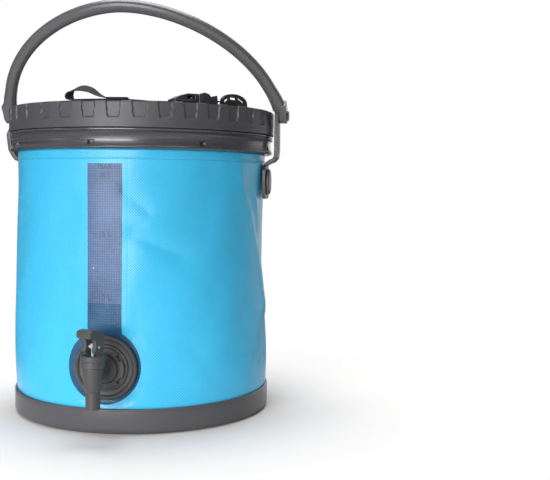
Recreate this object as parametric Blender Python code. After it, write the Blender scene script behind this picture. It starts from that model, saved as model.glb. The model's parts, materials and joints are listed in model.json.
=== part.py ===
"""A collapsible water carrier, open and standing, as separate solids in metres with +Z up.

The carrier's axis is the Z axis and the base tray's underside is at z = 0. A coated fabric tube
joins the base tray to a collar. A turn-lock lid with a filler cap, a dome valve and a vent plug
closes the collar. A lever tap stands on the wall, and a bail hangs on two arms that are buttoned to
the wall, a quarter turn from the tap.

Local frames: in the tap frame and in each lug frame, +X points straight out of the wall.
"""
import math

import bmesh
import bpy
import numpy as np
from mathutils import Matrix, Vector

MM = 0.001

# Fits
CLEARANCE = 0.3 * MM
RUNNING_GAP = 0.5 * MM
OVERRUN = 2.0 * MM
SINK = 0.4 * MM

# Facets
RING_STEPS = 60
PART_STEPS = 28
SMALL_STEPS = 16
FILLET_STEPS = 3
SMOOTH_ANGLE = math.radians(32)

# Directions round the axis, in degrees from +X
TAP_AZIMUTH = -105.2
WINDOW_AZIMUTH = -106.0
LUG_AZIMUTH = -16.0
CAP_AZIMUTH = 74.0
RECESS_AZIMUTH = -137.0
RECESS_TURN = -116.0
DOME_AZIMUTH = -24.0
PLUG_AZIMUTH = 146.0

# Base tray
BASE_HEIGHT = 28.6 * MM
BASE_WALL = 3.0 * MM
BASE_FLOOR = 3.5 * MM
BASE_FILLET = 10.0 * MM
BASE_EDGE = 0.8 * MM
BASE_CHAMFER = 2.4 * MM
BASE_HUB_R = 45.0 * MM
BASE_FOOT_WIDTH = 16.8 * MM
BASE_RELIEF = 1.2 * MM

# Fabric
BAG_R = 151.5 * MM
WALL_LENGTH = 282.0 * MM
FABRIC = 1.0 * MM
WALL_WAIST = 1.8 * MM
WALL_SWELL = 1.1 * MM
WALL_SWELL_POWER = 0.6
WALL_TUCK = 16.4 * MM
WINDOW_WIDTH = 38.0 * MM
WINDOW_TIP = 3.8 * MM
WINDOW_DISC_R = 41.5 * MM
WINDOW_SHEET = 0.5 * MM
WINDOW_DROP = 16.0 * MM
FLAT_INSET = 3.1 * MM
FLAT_R = 33.0 * MM
FLAT_BLEND = 12.4 * MM
FLAT_SOFTNESS = 1.0 * MM
FINE_HALF_ANGLE = 24.0
FINE_STEP = 3.0
COARSE_STEP = 6.0
FLAT_ROW_SHARES = (-1.0, -0.5, 0.0, 0.6, 1.1, 1.6)
UPPER_ROW_SHARES = (0.385, 1.0)
WINDOW_COLUMNS = 15
WINDOW_DISC_ROWS = 9

# Clamp hoops
HOOP_WALL = 2.5 * MM
BASE_HOOP_LOW = 8.0 * MM
BASE_HOOP_HEIGHT = 14.0 * MM
COLLAR_HOOP_HEIGHT = 16.0 * MM

# Collar
COLLAR_WALL = 9.0 * MM
COLLAR_HEIGHT = 22.0 * MM
COLLAR_BAND_DEPTH = 1.9 * MM
COLLAR_EDGE = 1.4 * MM
COLLAR_HOLLOW_SHARES = (0.16, 0.74)
COLLAR_HOLLOW_POWER = 0.5
COLLAR_BEAD = 2.4 * MM
COLLAR_GROOVE = 1.3 * MM
COLLAR_GROOVE_DEPTH = 1.2 * MM
NECK_WALL = 4.6 * MM
NECK_STEP = 0.9 * MM
SLOT_COUNT = 8
SLOT_PHASE = -5.8
SLOT_WIDTH = 7.0 * MM
SLOT_HEIGHT = 5.4 * MM
SLOT_DEPTH = 4.0 * MM
SLOT_RISE = 6.6 * MM

# Bayonet lugs that hold the lid down
BAYONET_COUNT = 6
BAYONET_ANGLE = 15.0
BAYONET_REACH = 3.2 * MM
BAYONET_THICK = 3.2 * MM
BAYONET_RISE = 11.6 * MM

# Lid
LID_HEIGHT = 28.3 * MM
LID_GAP = 0.5 * MM
LID_WALL = 2.6 * MM
LID_EDGE = 2.0 * MM
LID_RIM_WIDTH = 13.5 * MM
LID_CHAMFER = 3.5 * MM
LID_DROP = 5.4 * MM
NOTCH_COUNT = 36
NOTCH_PHASE = 3.4
NOTCH_WIDTH = 16.6 * MM
NOTCH_FOOT_WIDTH = 13.8 * MM
NOTCH_HEIGHT = 18.4 * MM
NOTCH_DEPTH = 1.5 * MM
NOTCH_CORNER = 2.0 * MM
GASKET_HEIGHT = 2.6 * MM
GASKET_WIDTH = 6.6 * MM

# Finger recess
RECESS_PLACE_SHARE = 0.4685
RECESS_LENGTH = 58.0 * MM
RECESS_WIDTH = 17.0 * MM
RECESS_ROUND_R = 14.0 * MM
RECESS_DEPTH = 11.0 * MM
RECESS_WALL = 2.2 * MM

# Bosses of the dome valve and the vent plug
BOSS_R = 23.0 * MM
BOSS_HEIGHT = 2.0 * MM
DOME_PLACE_SHARE = 0.3357
DOME_R = 13.5 * MM
DOME_HEIGHT = 5.0 * MM
DOME_STEM_R = 4.6 * MM
DOME_BARB = 2.4 * MM
PLUG_PLACE_SHARE = 0.6224
PLUG_R = 13.5 * MM
PLUG_HEIGHT = 5.0 * MM
PLUG_STEM_R = 9.0 * MM
PLUG_TRAVEL = 5.0 * MM
PLUG_DISH = 1.4 * MM

# Filler neck and cap
CAP_PLACE_SHARE = 0.6154
CAP_R = 30.2 * MM
CAP_TAPER = 1.0 * MM
CAP_HEIGHT = 22.0 * MM
CAP_EDGE = 2.4 * MM
CAP_ROOF = 2.5 * MM
CAP_DISH = 7.0 * MM
CAP_DISH_R = 24.5 * MM
CAP_BAND = 2.2 * MM
CAP_GRIP_WIDTH = 6.0 * MM
FILLER_R = 21.0 * MM
FILLER_WALL = 3.5 * MM
CAP_SEAL = 1.4 * MM
TETHER = 2.0 * MM
TETHER_WIDTH = 12.0 * MM
TETHER_REACH = 4.2 * MM
TETHER_RISE = 16.0 * MM

# Lug arms, buttons and pivot pins
PIVOT_DROP = 4.4 * MM
ARM_STANDOFF = 3.5 * MM
ARM_THICK = 5.0 * MM
ARM_WIDTH = 20.0 * MM
ARM_TOP_R = 8.5 * MM
ARM_FOOT_DROP = 6.0 * MM
ARM_BOWS = {"left": 6.0 * MM, "right": 0.0 * MM}
ARM_STRAIGHT_SHARE = 1.25
ARM_UPPER_SHARES = ((1.0, 0.0, 0.55), (0.6, 0.0, 0.2), (0.0, 0.1, 0.05))
ARM_LOWER_SHARES = ((0.5, 0.12), (1.3, 0.5), (1.8, 0.85), (2.0, 1.3))
ARM_THINNING_SHARES = (0.0, 0.0, 0.0, 0.0, 0.0, 0.15, 0.5, 1.0, 1.0, 1.0)
PLATE_THICK = 3.5 * MM
PLATE_WIDTH = 34.0 * MM
PLATE_HEIGHT = 41.0 * MM
PLATE_DROP = 12.6 * MM
PLATE_CORNER = 7.0 * MM
ARM_NECK_WIDTH = 18.0 * MM
BUTTON_WIDTH = 23.0 * MM
BUTTON_HEIGHT = 31.0 * MM
BUTTON_THICK = 4.0 * MM
BUTTON_STEM_R = 4.6 * MM
BUTTON_STEPS = 28
BUTTON_RING_SHARES = ((0.0, 1.0), (0.65, 1.0), (1.0, 0.86))
PIN_R = 4.0 * MM
PIN_HEAD_R = 6.4 * MM
PIN_HEAD = 1.6 * MM

# Bail
BAIL_LEAN = 41.7
BAIL_OVERHANG = 8.0 * MM
BAIL_REACH = 153.0 * MM
BAIL_ROUNDNESS = 1.83
BAIL_HALF_WIDTH = 7.2 * MM
BAIL_HALF_DEPTH = 6.5 * MM
BAIL_STEPS = 44
BAIL_SIDES = 12
BAIL_FOOT_HALF_WIDTH = 8.2 * MM
BAIL_FOOT_INSET = 1.2 * MM
BAIL_FOOT_FLARE = 34.0 * MM
BAIL_FOOT_GAP = 1.6 * MM
BAIL_EYE_R = 9.0 * MM
BAIL_EYE_THICK = 9.0 * MM

# Tap
TAP_Z = 74.0 * MM
TAP_HOLE_R = 13.5 * MM
TAP_SHANK_R = 12.6 * MM
TAP_SHANK_DEPTH = 15.0 * MM
TAP_FLANGE_R = 34.4 * MM
TAP_FLANGE_THICK = 3.4 * MM
TAP_RIM_HEIGHT = 2.6 * MM
TAP_RIM_WIDTH = 3.8 * MM
TAP_SEAT_R = 24.6 * MM
TAP_SEAT_HEIGHT = 2.4 * MM
TAP_GASKET = 1.5 * MM
TAP_GASKET_R = 30.0 * MM
TAP_SOCKET_R = 10.4 * MM
TAP_SPIGOT_R = 9.9 * MM
TAP_LOCK_R = 22.6 * MM
TAP_LOCK_THICK = 4.4 * MM
TAP_LOCK_NOTCHES = 5
TAP_LOCK_NOTCH_WIDTH = 7.0 * MM
TAP_LOCK_NOTCH_DEPTH = 3.4 * MM
TAP_COLLAR_R = 15.0 * MM
TAP_COLLAR_THICK = 4.0 * MM
TAP_NUT_R = 23.0 * MM
TAP_NUT_THICK = 7.0 * MM
TAP_WASHER = 1.5 * MM
TAP_WASHER_R = 24.0 * MM
TAP_BARREL_REACH = 47.0 * MM
TAP_NECK_R = 9.4 * MM
TAP_NECK_END_R = 6.1 * MM
TAP_WAY_R = 4.6 * MM
BARREL_RISE = 15.5 * MM
BARREL_SHOULDER_RISE = 8.4 * MM
BARREL_FOOT_DROP = 15.0 * MM
BARREL_R = 10.85 * MM
BARREL_FOOT_R = 8.9 * MM
NOZZLE_DROP = 35.0 * MM
NOZZLE_R = 7.6 * MM
NOZZLE_BORE_R = 5.2 * MM
CHAMBER_DROP = 13.0 * MM
CHAMBER_R = 7.2 * MM
BONNET_WALL = 1.6 * MM
BONNET_HEIGHT = 13.2 * MM
BONNET_ROOF = 3.2 * MM
BONNET_EDGE = 0.7 * MM
STEM_R = 2.4 * MM
STEM_HEAD_R = 3.6 * MM
STEM_NECK_SHARE = 1.6
STEM_PISTON_R = 6.6 * MM
STEM_PISTON_HEIGHT = 5.0 * MM
VALVE_SEAL = 1.6 * MM
LEVER_PIVOT_RISE = 8.6 * MM
LEVER_PIN_R = 1.5 * MM
LEVER_LEG_R = 7.6 * MM
LEVER_LEG_THICK = 4.6 * MM
LEVER_GAP = 8.4 * MM
LEVER_RISE = 18.4 * MM
LEVER_TURN = -22.0
LEVER_REACH = 14.6 * MM
LEVER_PAD = 8.2 * MM
LEVER_PAD_WIDTH = 18.6 * MM
LEVER_TOP_SHARES = ((-0.54, 0.4), (-0.44, 0.72), (0.0, 0.95), (0.5, 1.0), (0.86, 0.97), (1.0, 0.84))
LEVER_UNDER_SHARES = ((0.98, 0.62), (0.86, 0.53), (0.52, 0.5), (0.36, 0.36))
LEVER_KNEE_SHARES = (0.68, 0.08)
LEVER_FOOT_ANGLE = 62.0

# Strap on the lid
STRAP_WIDTH = 15.0 * MM
STRAP_THICK = 1.3 * MM
STRAP_INSET = 9.0 * MM
STRAP_DISH_GAP = 2.0 * MM
STRAP_LAYER = 1.7 * MM
STRAP_LOOP_HEIGHT = 13.6 * MM
STRAP_LOOP_SHARES = ((-122.0, 0.32), (-120.9, 0.78), (-117.0, 1.0), (-112.6, 0.86), (-108.4, 0.42))
STRAP_LOOP_LEANS = (6.0, 18.0, 26.0, 22.0, 8.0)
STRAP_END_REACH = 4.0 * MM
BUCKLE_AZIMUTH = -73.0
BUCKLE_INSET = 17.0 * MM
BUCKLE_WIDTH = 25.0 * MM
BUCKLE_HEIGHT = 9.4 * MM
BUCKLE_LENGTH = 27.0 * MM
BUCKLE_WALL = 2.0 * MM
BUCKLE_TOP_SHARES = ((1.0, 1.0), (0.1, 1.0), (-0.4, 0.8), (-1.0, 0.36))
BUCKLE_CAVITY_SHARES = (-0.55, -0.1)
BUCKLE_STEP_SHARE = 0.55
BUCKLE_WINDOW_SHARES = (0.1, 0.7)
BUCKLE_PLUG_LENGTH = 15.0 * MM
BUCKLE_PLUG_HEIGHT = 11.4 * MM
BUCKLE_PRONG_LENGTH = 19.0 * MM
BUCKLE_PRONG_WIDTH = 4.6 * MM
BUCKLE_PLUG_SHARES = ((1.0, 0.0), (1.0, 0.5), (0.82, 0.86), (0.45, 1.0), (0.0, 0.8))
BUCKLE_SLOT_SHARES = (0.3, 0.66)
BUCKLE_SLOT_WIDTH_SHARE = 0.62
KEEPER_LENGTH = 8.0 * MM
KEEPER_HEIGHT = 9.0 * MM
KEEPER_BACK_SHARE = 0.84
KEEPER_WIDTH_SHARE = 0.8
KEEPER_MOUTH_SHARE = 0.7
ADJUSTER_LENGTH = 43.0 * MM
ADJUSTER_HEIGHT = 13.4 * MM
ADJUSTER_THICK = 3.2 * MM
ADJUSTER_SLOT = 2.6 * MM
ADJUSTER_INSET = 10.5 * MM
ADJUSTER_GAP = 2.4 * MM
ADJUSTER_FOOT_SHARE = 0.12
ADJUSTER_ROUNDNESS = 0.8
ADJUSTER_SLOT_SHARES = ((-0.1, 0.6, 0.42, 0.0), (0.52, 0.52, 0.5, -24.0), (-0.62, 0.42, 0.3, 30.0))
ADJUSTER_SLIT_SHARES = (-0.14, 0.62)

# Heights and radii that follow
BASE_R = BAG_R + CLEARANCE + BASE_WALL
BASE_FOOT_R = BASE_R - BASE_FILLET - BASE_FOOT_WIDTH
COLLAR_LOW = BASE_HEIGHT + WALL_LENGTH
COLLAR_TOP = COLLAR_LOW + COLLAR_HEIGHT
LID_LOW = COLLAR_TOP + LID_GAP
LID_TOP = LID_LOW + LID_HEIGHT
DISC_TOP = LID_TOP - LID_DROP
DISC_LOW = DISC_TOP - LID_WALL
NECK_TOP = LID_TOP - LID_WALL - CLEARANCE - GASKET_HEIGHT - CLEARANCE
WALL_TOP_R = BAG_R - WALL_WAIST
FLOOR_SHEET_LOW = BASE_FLOOR + CLEARANCE
WALL_FOOT = BASE_FLOOR + BASE_CHAMFER + CLEARANCE
WALL_HEAD = COLLAR_LOW + WALL_TUCK
COLLAR_INNER = WALL_TOP_R + CLEARANCE
NECK_INNER = COLLAR_INNER - NECK_STEP
NECK_R = NECK_INNER + NECK_WALL
COLLAR_R = COLLAR_INNER + COLLAR_WALL
SKIRT_INNER = NECK_R + BAYONET_REACH + RUNNING_GAP
LID_R = SKIRT_INNER + LID_WALL
RIM_INNER = LID_R - LID_RIM_WIDTH
DISC_R = RIM_INNER - LID_CHAMFER
RECESS_RADIUS = RECESS_PLACE_SHARE * DISC_R
DOME_RADIUS = DOME_PLACE_SHARE * DISC_R
PLUG_RADIUS = PLUG_PLACE_SHARE * DISC_R
CAP_RADIUS = CAP_PLACE_SHARE * DISC_R
FLAT_X = BAG_R - FLAT_INSET
GASKET_X = FLAT_X + RUNNING_GAP + WINDOW_SHEET + RUNNING_GAP
FLANGE_X = GASKET_X + TAP_GASKET + CLEARANCE
FLANGE_FACE = FLANGE_X + TAP_FLANGE_THICK
LOCK_X = FLANGE_FACE + TAP_SEAT_HEIGHT + CLEARANCE
BARREL_X = BAG_R + TAP_BARREL_REACH
BARREL_TOP = TAP_Z + BARREL_RISE
BARREL_SHOULDER_Z = TAP_Z + BARREL_SHOULDER_RISE
BARREL_FOOT_Z = TAP_Z - BARREL_FOOT_DROP
BARREL_THREAD_R = BARREL_R - SINK
NOZZLE_FOOT_Z = TAP_Z - NOZZLE_DROP
CHAMBER_FLOOR_Z = TAP_Z - CHAMBER_DROP
BONNET_INNER = BARREL_THREAD_R + RUNNING_GAP
BONNET_R = BONNET_INNER + BONNET_WALL
BONNET_LOW = BARREL_SHOULDER_Z + CLEARANCE
BONNET_TOP = BONNET_LOW + BONNET_HEIGHT
LEVER_Z = BONNET_TOP + LEVER_PIVOT_RISE
PIVOT_Z = LID_TOP - PIVOT_DROP
BAIL_HALF_SPAN = LID_R + BAIL_OVERHANG
ARM_X = LID_R + ARM_STANDOFF
ARM_OUTER = ARM_X + ARM_THICK
EYE_X = ARM_OUTER + RUNNING_GAP
PLATE_X = WALL_TOP_R + RUNNING_GAP + CLEARANCE
PLATE_OUTER = PLATE_X + PLATE_THICK
PLATE_TOP = COLLAR_LOW - PLATE_DROP
PLATE_LOW = PLATE_TOP - PLATE_HEIGHT
BOSS_TOP = DISC_TOP + BOSS_HEIGHT
TETHER_LOW = DISC_TOP + CLEARANCE
CAP_LOW = TETHER_LOW + TETHER + CLEARANCE
CAP_TOP = CAP_LOW + CAP_HEIGHT
CAP_ROOF_LOW = CAP_TOP - CAP_DISH - CAP_ROOF
FILLER_TOP = CAP_ROOF_LOW - CAP_SEAL - CLEARANCE - CLEARANCE
SEAT_Z = LID_TOP + CLEARANCE
STRAP_RADIUS = LID_R - STRAP_INSET
STRAP_INNER_RADIUS = DISC_R - STRAP_DISH_GAP - STRAP_WIDTH / 2
STRAP_END_START = BUCKLE_LENGTH / 2 + RUNNING_GAP + BUCKLE_PLUG_LENGTH + CLEARANCE
STRAP_END_STOP = STRAP_END_START + KEEPER_LENGTH + STRAP_END_REACH
BUCKLE_RADIUS = LID_R - BUCKLE_INSET
ADJUSTER_RADIUS = LID_R - ADJUSTER_INSET
ADJUSTER_TURN = math.degrees((STRAP_END_STOP + ADJUSTER_GAP + ADJUSTER_LENGTH / 2) / ADJUSTER_RADIUS)
ADJUSTER_AZIMUTH = BUCKLE_AZIMUTH + ADJUSTER_TURN

AXIS_TO_X = Matrix(((0, 0, 1, 0), (1, 0, 0, 0), (0, 1, 0, 0), (0, 0, 0, 1)))


def clear_scene():
    """Remove whatever the open file holds."""
    for item in list(bpy.data.objects):
        bpy.data.objects.remove(item)


def make_material(name, colour, roughness, metallic=0.0):
    """A Principled material of one colour."""
    material = bpy.data.materials.new(name)
    material.use_nodes = True
    shader = material.node_tree.nodes["Principled BSDF"]
    shader.inputs["Base Color"].default_value = (*colour, 1.0)
    shader.inputs["Roughness"].default_value = roughness
    shader.inputs["Metallic"].default_value = metallic
    return material


def new_mesh(points, faces):
    """A mesh with its faces turned outward."""
    mesh = bpy.data.meshes.new("shape")
    mesh.from_pydata([tuple(map(float, point)) for point in points], [], faces)
    work = bmesh.new()
    work.from_mesh(mesh)
    bmesh.ops.recalc_face_normals(work, faces=work.faces)
    work.to_mesh(mesh)
    work.free()
    return mesh


def lathe(profile, steps=PART_STEPS, start=0.0, sweep=360.0):
    """Turn a closed (radius, height) outline round Z, all the way or through a sector."""
    full = sweep >= 360.0
    count = steps if full else steps + 1
    angles = [math.radians(start + sweep * index / steps) for index in range(count)]
    points = []
    rings = []
    for radius, height in profile:
        if radius == 0 and full:
            rings.append([len(points)] * count)
            points.append((0.0, 0.0, height))
            continue
        ring = []
        for angle in angles:
            ring.append(len(points))
            points.append((radius * math.cos(angle), radius * math.sin(angle), height))
        rings.append(ring)
    faces = []
    for index, ring in enumerate(rings):
        above = rings[(index + 1) % len(rings)]
        for step in range(steps):
            after = (step + 1) % count
            corners = [ring[step], ring[after], above[after], above[step]]
            face = [corner for place, corner in enumerate(corners) if corner not in corners[:place]]
            if len(face) > 2:
                faces.append(face)
    if not full:
        faces.append([ring[0] for ring in rings])
        faces.append([ring[-1] for ring in reversed(rings)])
    return new_mesh(points, faces)


def loft(rings):
    """Skin a row of rings that have the same number of points, with a cap at each end."""
    size = len(rings[0])
    points = [point for ring in rings for point in ring]
    faces = []
    for index in range(len(rings) - 1):
        for step in range(size):
            after = (step + 1) % size
            low = index * size
            high = low + size
            faces.append((low + step, low + after, high + after, high + step))
    faces.append(tuple(range(size)))
    faces.append(tuple(range((len(rings) - 1) * size, len(rings) * size)))
    return new_mesh(points, faces)


def prism(outline, low, high):
    """Extrude an (x, y) outline from z = low to z = high."""
    rings = [[(x, y, z) for x, y in outline] for z in (low, high)]
    return loft(rings)


def side_prism(outline, half_width):
    """Extrude an (x, z) outline to both sides along Y."""
    rings = [[(x, y, z) for x, z in outline] for y in (-half_width, half_width)]
    return loft(rings)


def front_prism(outline, low, high):
    """Extrude a (y, z) outline from x = low to x = high."""
    rings = [[(x, y, z) for y, z in outline] for x in (low, high)]
    return loft(rings)


def block(low, high):
    """A box between two corners."""
    outline = [(low[0], low[1]), (high[0], low[1]), (high[0], high[1]), (low[0], high[1])]
    return prism(outline, low[2], high[2])


def drum(radius, low, high, steps=PART_STEPS):
    """A solid cylinder on the Z axis."""
    return lathe([(0, low), (radius, low), (radius, high), (0, high)], steps)


def turned(mesh, matrix):
    """The same mesh, moved."""
    mesh.transform(matrix)
    return mesh


def about(azimuth):
    """A turn round Z, in degrees."""
    return Matrix.Rotation(math.radians(azimuth), 4, "Z")


def shifted(x=0.0, y=0.0, z=0.0):
    """A straight move."""
    return Matrix.Translation((x, y, z))


def arc(centre, radius, start, end, steps):
    """Points on a circle from one angle to another, in degrees."""
    angles = np.radians(np.linspace(start, end, steps + 1))
    return [(centre[0] + radius * math.cos(a), centre[1] + radius * math.sin(a)) for a in angles]


def rounded_box(half_width, low, high, corner, steps=FILLET_STEPS):
    """A rectangle with round corners, anticlockwise, centred on the first axis."""
    points = arc((half_width - corner, low + corner), corner, -90, 0, steps)
    points += arc((half_width - corner, high - corner), corner, 0, 90, steps)
    points += arc((corner - half_width, high - corner), corner, 90, 180, steps)
    points += arc((corner - half_width, low + corner), corner, 180, 270, steps)
    return points


def ribbon(centres, thicknesses):
    """The outline of a bent strip from the line down its middle and its thickness at each point."""
    line = np.array(centres, dtype=float)
    half = np.array(thicknesses, dtype=float)[:, None] / 2
    along = np.gradient(line, axis=0)
    along /= np.linalg.norm(along, axis=1)[:, None]
    across = np.stack([-along[:, 1], along[:, 0]], axis=1)
    left = line + across * half
    right = line - across * half
    return [tuple(point) for point in left] + [tuple(point) for point in right[::-1]]


def smooth_line(points, steps):
    """A smooth line through the given points, with no overshoot between two of them."""
    line = np.array(points, dtype=float)
    padded = np.vstack([2 * line[0] - line[1], line, 2 * line[-1] - line[-2]])
    shares = np.linspace(0, 1, steps, endpoint=False)[:, None]
    runs = []
    for index in range(len(line) - 1):
        a, b, c, d = padded[index:index + 4]
        run = b + (c - a) * shares / 2 + (2 * a - 5 * b + 4 * c - d) * shares**2 / 2
        run += (3 * b - a - 3 * c + d) * shares**3 / 2
        runs.append(np.clip(run, np.minimum(b, c), np.maximum(b, c)))
    runs.append(line[-1:])
    return np.vstack(runs)


def smoothstep(share):
    """Ease from 0 to 1."""
    share = np.clip(share, 0.0, 1.0)
    return share * share * (3 - 2 * share)


def solid(name, mesh):
    """Put a mesh in the scene."""
    piece = bpy.data.objects.new(name, mesh)
    bpy.context.collection.objects.link(piece)
    return piece


def combine(piece, mesh, operation):
    """Apply a Boolean with a mesh that is then thrown away."""
    tool = solid("tool", mesh)
    tool.display_type = "WIRE"
    tool.hide_render = True
    modifier = piece.modifiers.new("combine", "BOOLEAN")
    modifier.operation = operation
    modifier.object = tool
    graph = bpy.context.evaluated_depsgraph_get()
    result = bpy.data.meshes.new_from_object(piece.evaluated_get(graph))
    piece.modifiers.clear()
    piece.data = result
    bpy.data.objects.remove(tool)


def cut(piece, mesh):
    """Take a mesh out of a piece."""
    combine(piece, mesh, "DIFFERENCE")


def fuse(piece, mesh):
    """Add a mesh to a piece."""
    combine(piece, mesh, "UNION")


def joined(meshes):
    """Several separate shapes as one mesh."""
    work = bmesh.new()
    for mesh in meshes:
        work.from_mesh(mesh)
    result = bpy.data.meshes.new("shapes")
    work.to_mesh(result)
    work.free()
    return result


def seat(piece, material, frame=None, origin=(0.0, 0.0, 0.0)):
    """Finish a piece: its material, its shading, its frame, and its origin on its joint."""
    origin = Vector(origin)
    piece.data.transform(Matrix.Translation(-origin))
    piece.location = origin
    piece.parent = frame
    piece.data.name = piece.name
    piece.data.materials.clear()
    piece.data.materials.append(material)
    piece.data.shade_smooth()
    piece.data.set_sharp_from_angle(angle=SMOOTH_ANGLE)
    return piece


def make_frame(name, azimuth, height=0.0, lean=0.0):
    """An empty turned round the axis, and leaned towards its own -Y."""
    frame = bpy.data.objects.new(name, None)
    frame.rotation_euler = (math.radians(lean), 0.0, math.radians(azimuth))
    frame.location = (0.0, 0.0, height)
    bpy.context.collection.objects.link(frame)
    return frame


def make_base_tray(material):
    """The dark tray that the bag stands in, with a hub and a foot ring below."""
    inner = BASE_R - BASE_WALL
    profile = [(0, 0), (BASE_HUB_R, 0), (BASE_HUB_R, BASE_RELIEF), (BASE_FOOT_R, BASE_RELIEF)]
    profile += [(BASE_FOOT_R, 0)]
    profile += arc((BASE_R - BASE_FILLET, BASE_FILLET), BASE_FILLET, -90, 0, FILLET_STEPS)
    profile += [(BASE_R, BASE_HEIGHT - BASE_EDGE), (BASE_R - BASE_EDGE, BASE_HEIGHT)]
    profile += [(inner, BASE_HEIGHT)]
    profile += [(inner, BASE_FLOOR + BASE_CHAMFER), (inner - BASE_CHAMFER, BASE_FLOOR)]
    profile += [(0, BASE_FLOOR)]
    seat(solid("base_tray", lathe(profile, RING_STEPS)), material)


def make_bag_floor(material):
    """The bag's bottom, a flat sheet on the tray's floor."""
    radius = BASE_R - BASE_WALL - BASE_CHAMFER - CLEARANCE
    low = FLOOR_SHEET_LOW
    seat(solid("bag_floor", drum(radius, low, low + FABRIC, RING_STEPS)), material)


def wall_radius(azimuth, height):
    """The bag's outer radius: a slow waist and a swell, pressed flat round the tap."""
    share = np.clip((height - BASE_HEIGHT) / WALL_LENGTH, 0.0, 1.0)
    plain = BAG_R - WALL_WAIST * smoothstep(share)
    plain = plain + WALL_SWELL * np.sin(math.pi * share**WALL_SWELL_POWER) * (1 - share)
    turn = np.radians(azimuth - TAP_AZIMUTH)
    away = smoothstep((np.abs(height - TAP_Z) - FLAT_R) / FLAT_BLEND)
    flat = FLAT_X / np.cos(np.clip(turn, -math.pi / 4, math.pi / 4))
    lower = (plain + flat - np.hypot(plain - flat, FLAT_SOFTNESS)) / 2
    return lower * (1 - away) + plain * away


def wall_rows():
    """Heights of the wall's rows of corners."""
    flat = TAP_Z + np.array(FLAT_ROW_SHARES) * FLAT_R
    upper = flat[-1] + np.array(UPPER_ROW_SHARES) * (COLLAR_LOW - flat[-1])
    return np.concatenate([[WALL_FOOT, BASE_HEIGHT], flat, upper, [WALL_HEAD]])


def wall_azimuths():
    """Directions of the wall's columns of corners, closer together behind the tap."""
    fine = np.arange(-FINE_HALF_ANGLE, FINE_HALF_ANGLE, FINE_STEP)
    coarse = np.arange(FINE_HALF_ANGLE, 360.0 - FINE_HALF_ANGLE, COARSE_STEP)
    return TAP_AZIMUTH + np.concatenate([fine, coarse])


def faceted_radius(azimuth, height):
    """The wall's radius at a height between its rows."""
    rows = wall_rows()
    radii = [wall_radius(wrapped(azimuth), row) for row in rows]
    return float(np.interp(height, rows, radii))


def wrapped(azimuth):
    """The same direction, within half a turn of the tap."""
    return TAP_AZIMUTH + (azimuth - TAP_AZIMUTH + 180.0) % 360.0 - 180.0


def shell_band(azimuths, rows, radii, thickness, closed):
    """A curved sheet with a real thickness, from its outer radii at each row and column."""
    columns = len(azimuths[0])
    points = []
    for offset in (0.0, thickness):
        for row, heights in enumerate(rows):
            for column in range(columns):
                angle = math.radians(azimuths[row][column])
                radius = radii[row][column] - offset
                points.append((radius * math.cos(angle), radius * math.sin(angle), heights))
    layer = len(rows) * columns
    spans = columns if closed else columns - 1
    faces = []
    for row in range(len(rows) - 1):
        for column in range(spans):
            after = (column + 1) % columns
            low = row * columns
            high = low + columns
            outer = (low + column, low + after, high + after, high + column)
            faces.append(outer)
            faces.append(tuple(layer + corner for corner in reversed(outer)))
    for row in (0, len(rows) - 1):
        for column in range(spans):
            after = (column + 1) % columns
            low = row * columns
            faces.append((low + column, low + after, layer + low + after, layer + low + column))
    if not closed:
        for row in range(len(rows) - 1):
            for column in (0, columns - 1):
                low = row * columns + column
                high = low + columns
                faces.append((low, high, layer + high, layer + low))
    return new_mesh(points, faces)


def tap_hole():
    """The hole for the tap's shank, through the wall."""
    hole = drum(TAP_HOLE_R, FLAT_X / 2, FLANGE_X, SMALL_STEPS)
    return turned(hole, about(TAP_AZIMUTH) @ shifted(z=TAP_Z) @ AXIS_TO_X)


def make_bag_wall(material):
    """The coated fabric tube from the tray to the collar."""
    rows = wall_rows()
    azimuths = wall_azimuths()
    radii = [[wall_radius(wrapped(azimuth), row) for azimuth in azimuths] for row in rows]
    columns = [azimuths for _ in rows]
    piece = solid("bag_wall", shell_band(columns, rows, radii, FABRIC, True))
    cut(piece, tap_hole())
    seat(piece, material)


def make_window_strip(material):
    """The clear strip down the wall, with a round end behind the tap's flange."""
    top = COLLAR_LOW - WINDOW_DROP
    disc_angles = np.radians(np.linspace(-90, 60, WINDOW_DISC_ROWS))
    disc_rows = TAP_Z + WINDOW_DISC_R * np.sin(disc_angles)
    strip_rows = [row for row in wall_rows() if disc_rows[-1] < row < top]
    rows = list(disc_rows) + strip_rows + [top]
    shares = np.linspace(-1, 1, WINDOW_COLUMNS)
    azimuths = []
    radii = []
    for row in rows:
        across = WINDOW_DISC_R**2 - (row - TAP_Z)**2
        disc_half = math.sqrt(max(across, 0.0))
        half = max(disc_half, WINDOW_WIDTH / 2 if row > TAP_Z else WINDOW_TIP / 2)
        turns = WINDOW_AZIMUTH + np.degrees(shares * half / BAG_R)
        azimuths.append(turns)
        lift = RUNNING_GAP + WINDOW_SHEET
        radii.append([faceted_radius(turn, row) + lift for turn in turns])
    piece = solid("window_strip", shell_band(azimuths, rows, radii, WINDOW_SHEET, False))
    cut(piece, tap_hole())
    seat(piece, material)


def make_clamp_hoops(material):
    """The two hoops inside the bag that hold the fabric in the tray and in the collar."""
    spots = (
        ("base_clamp_hoop", BAG_R, BASE_HOOP_LOW, BASE_HOOP_HEIGHT),
        ("collar_clamp_hoop", WALL_TOP_R, COLLAR_LOW, COLLAR_HOOP_HEIGHT),
    )
    for name, wall, low, height in spots:
        outer = wall - FABRIC - CLEARANCE
        inner = outer - HOOP_WALL
        profile = [(inner, low), (outer, low), (outer, low + height), (inner, low + height)]
        seat(solid(name, lathe(profile, RING_STEPS)), material)


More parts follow.
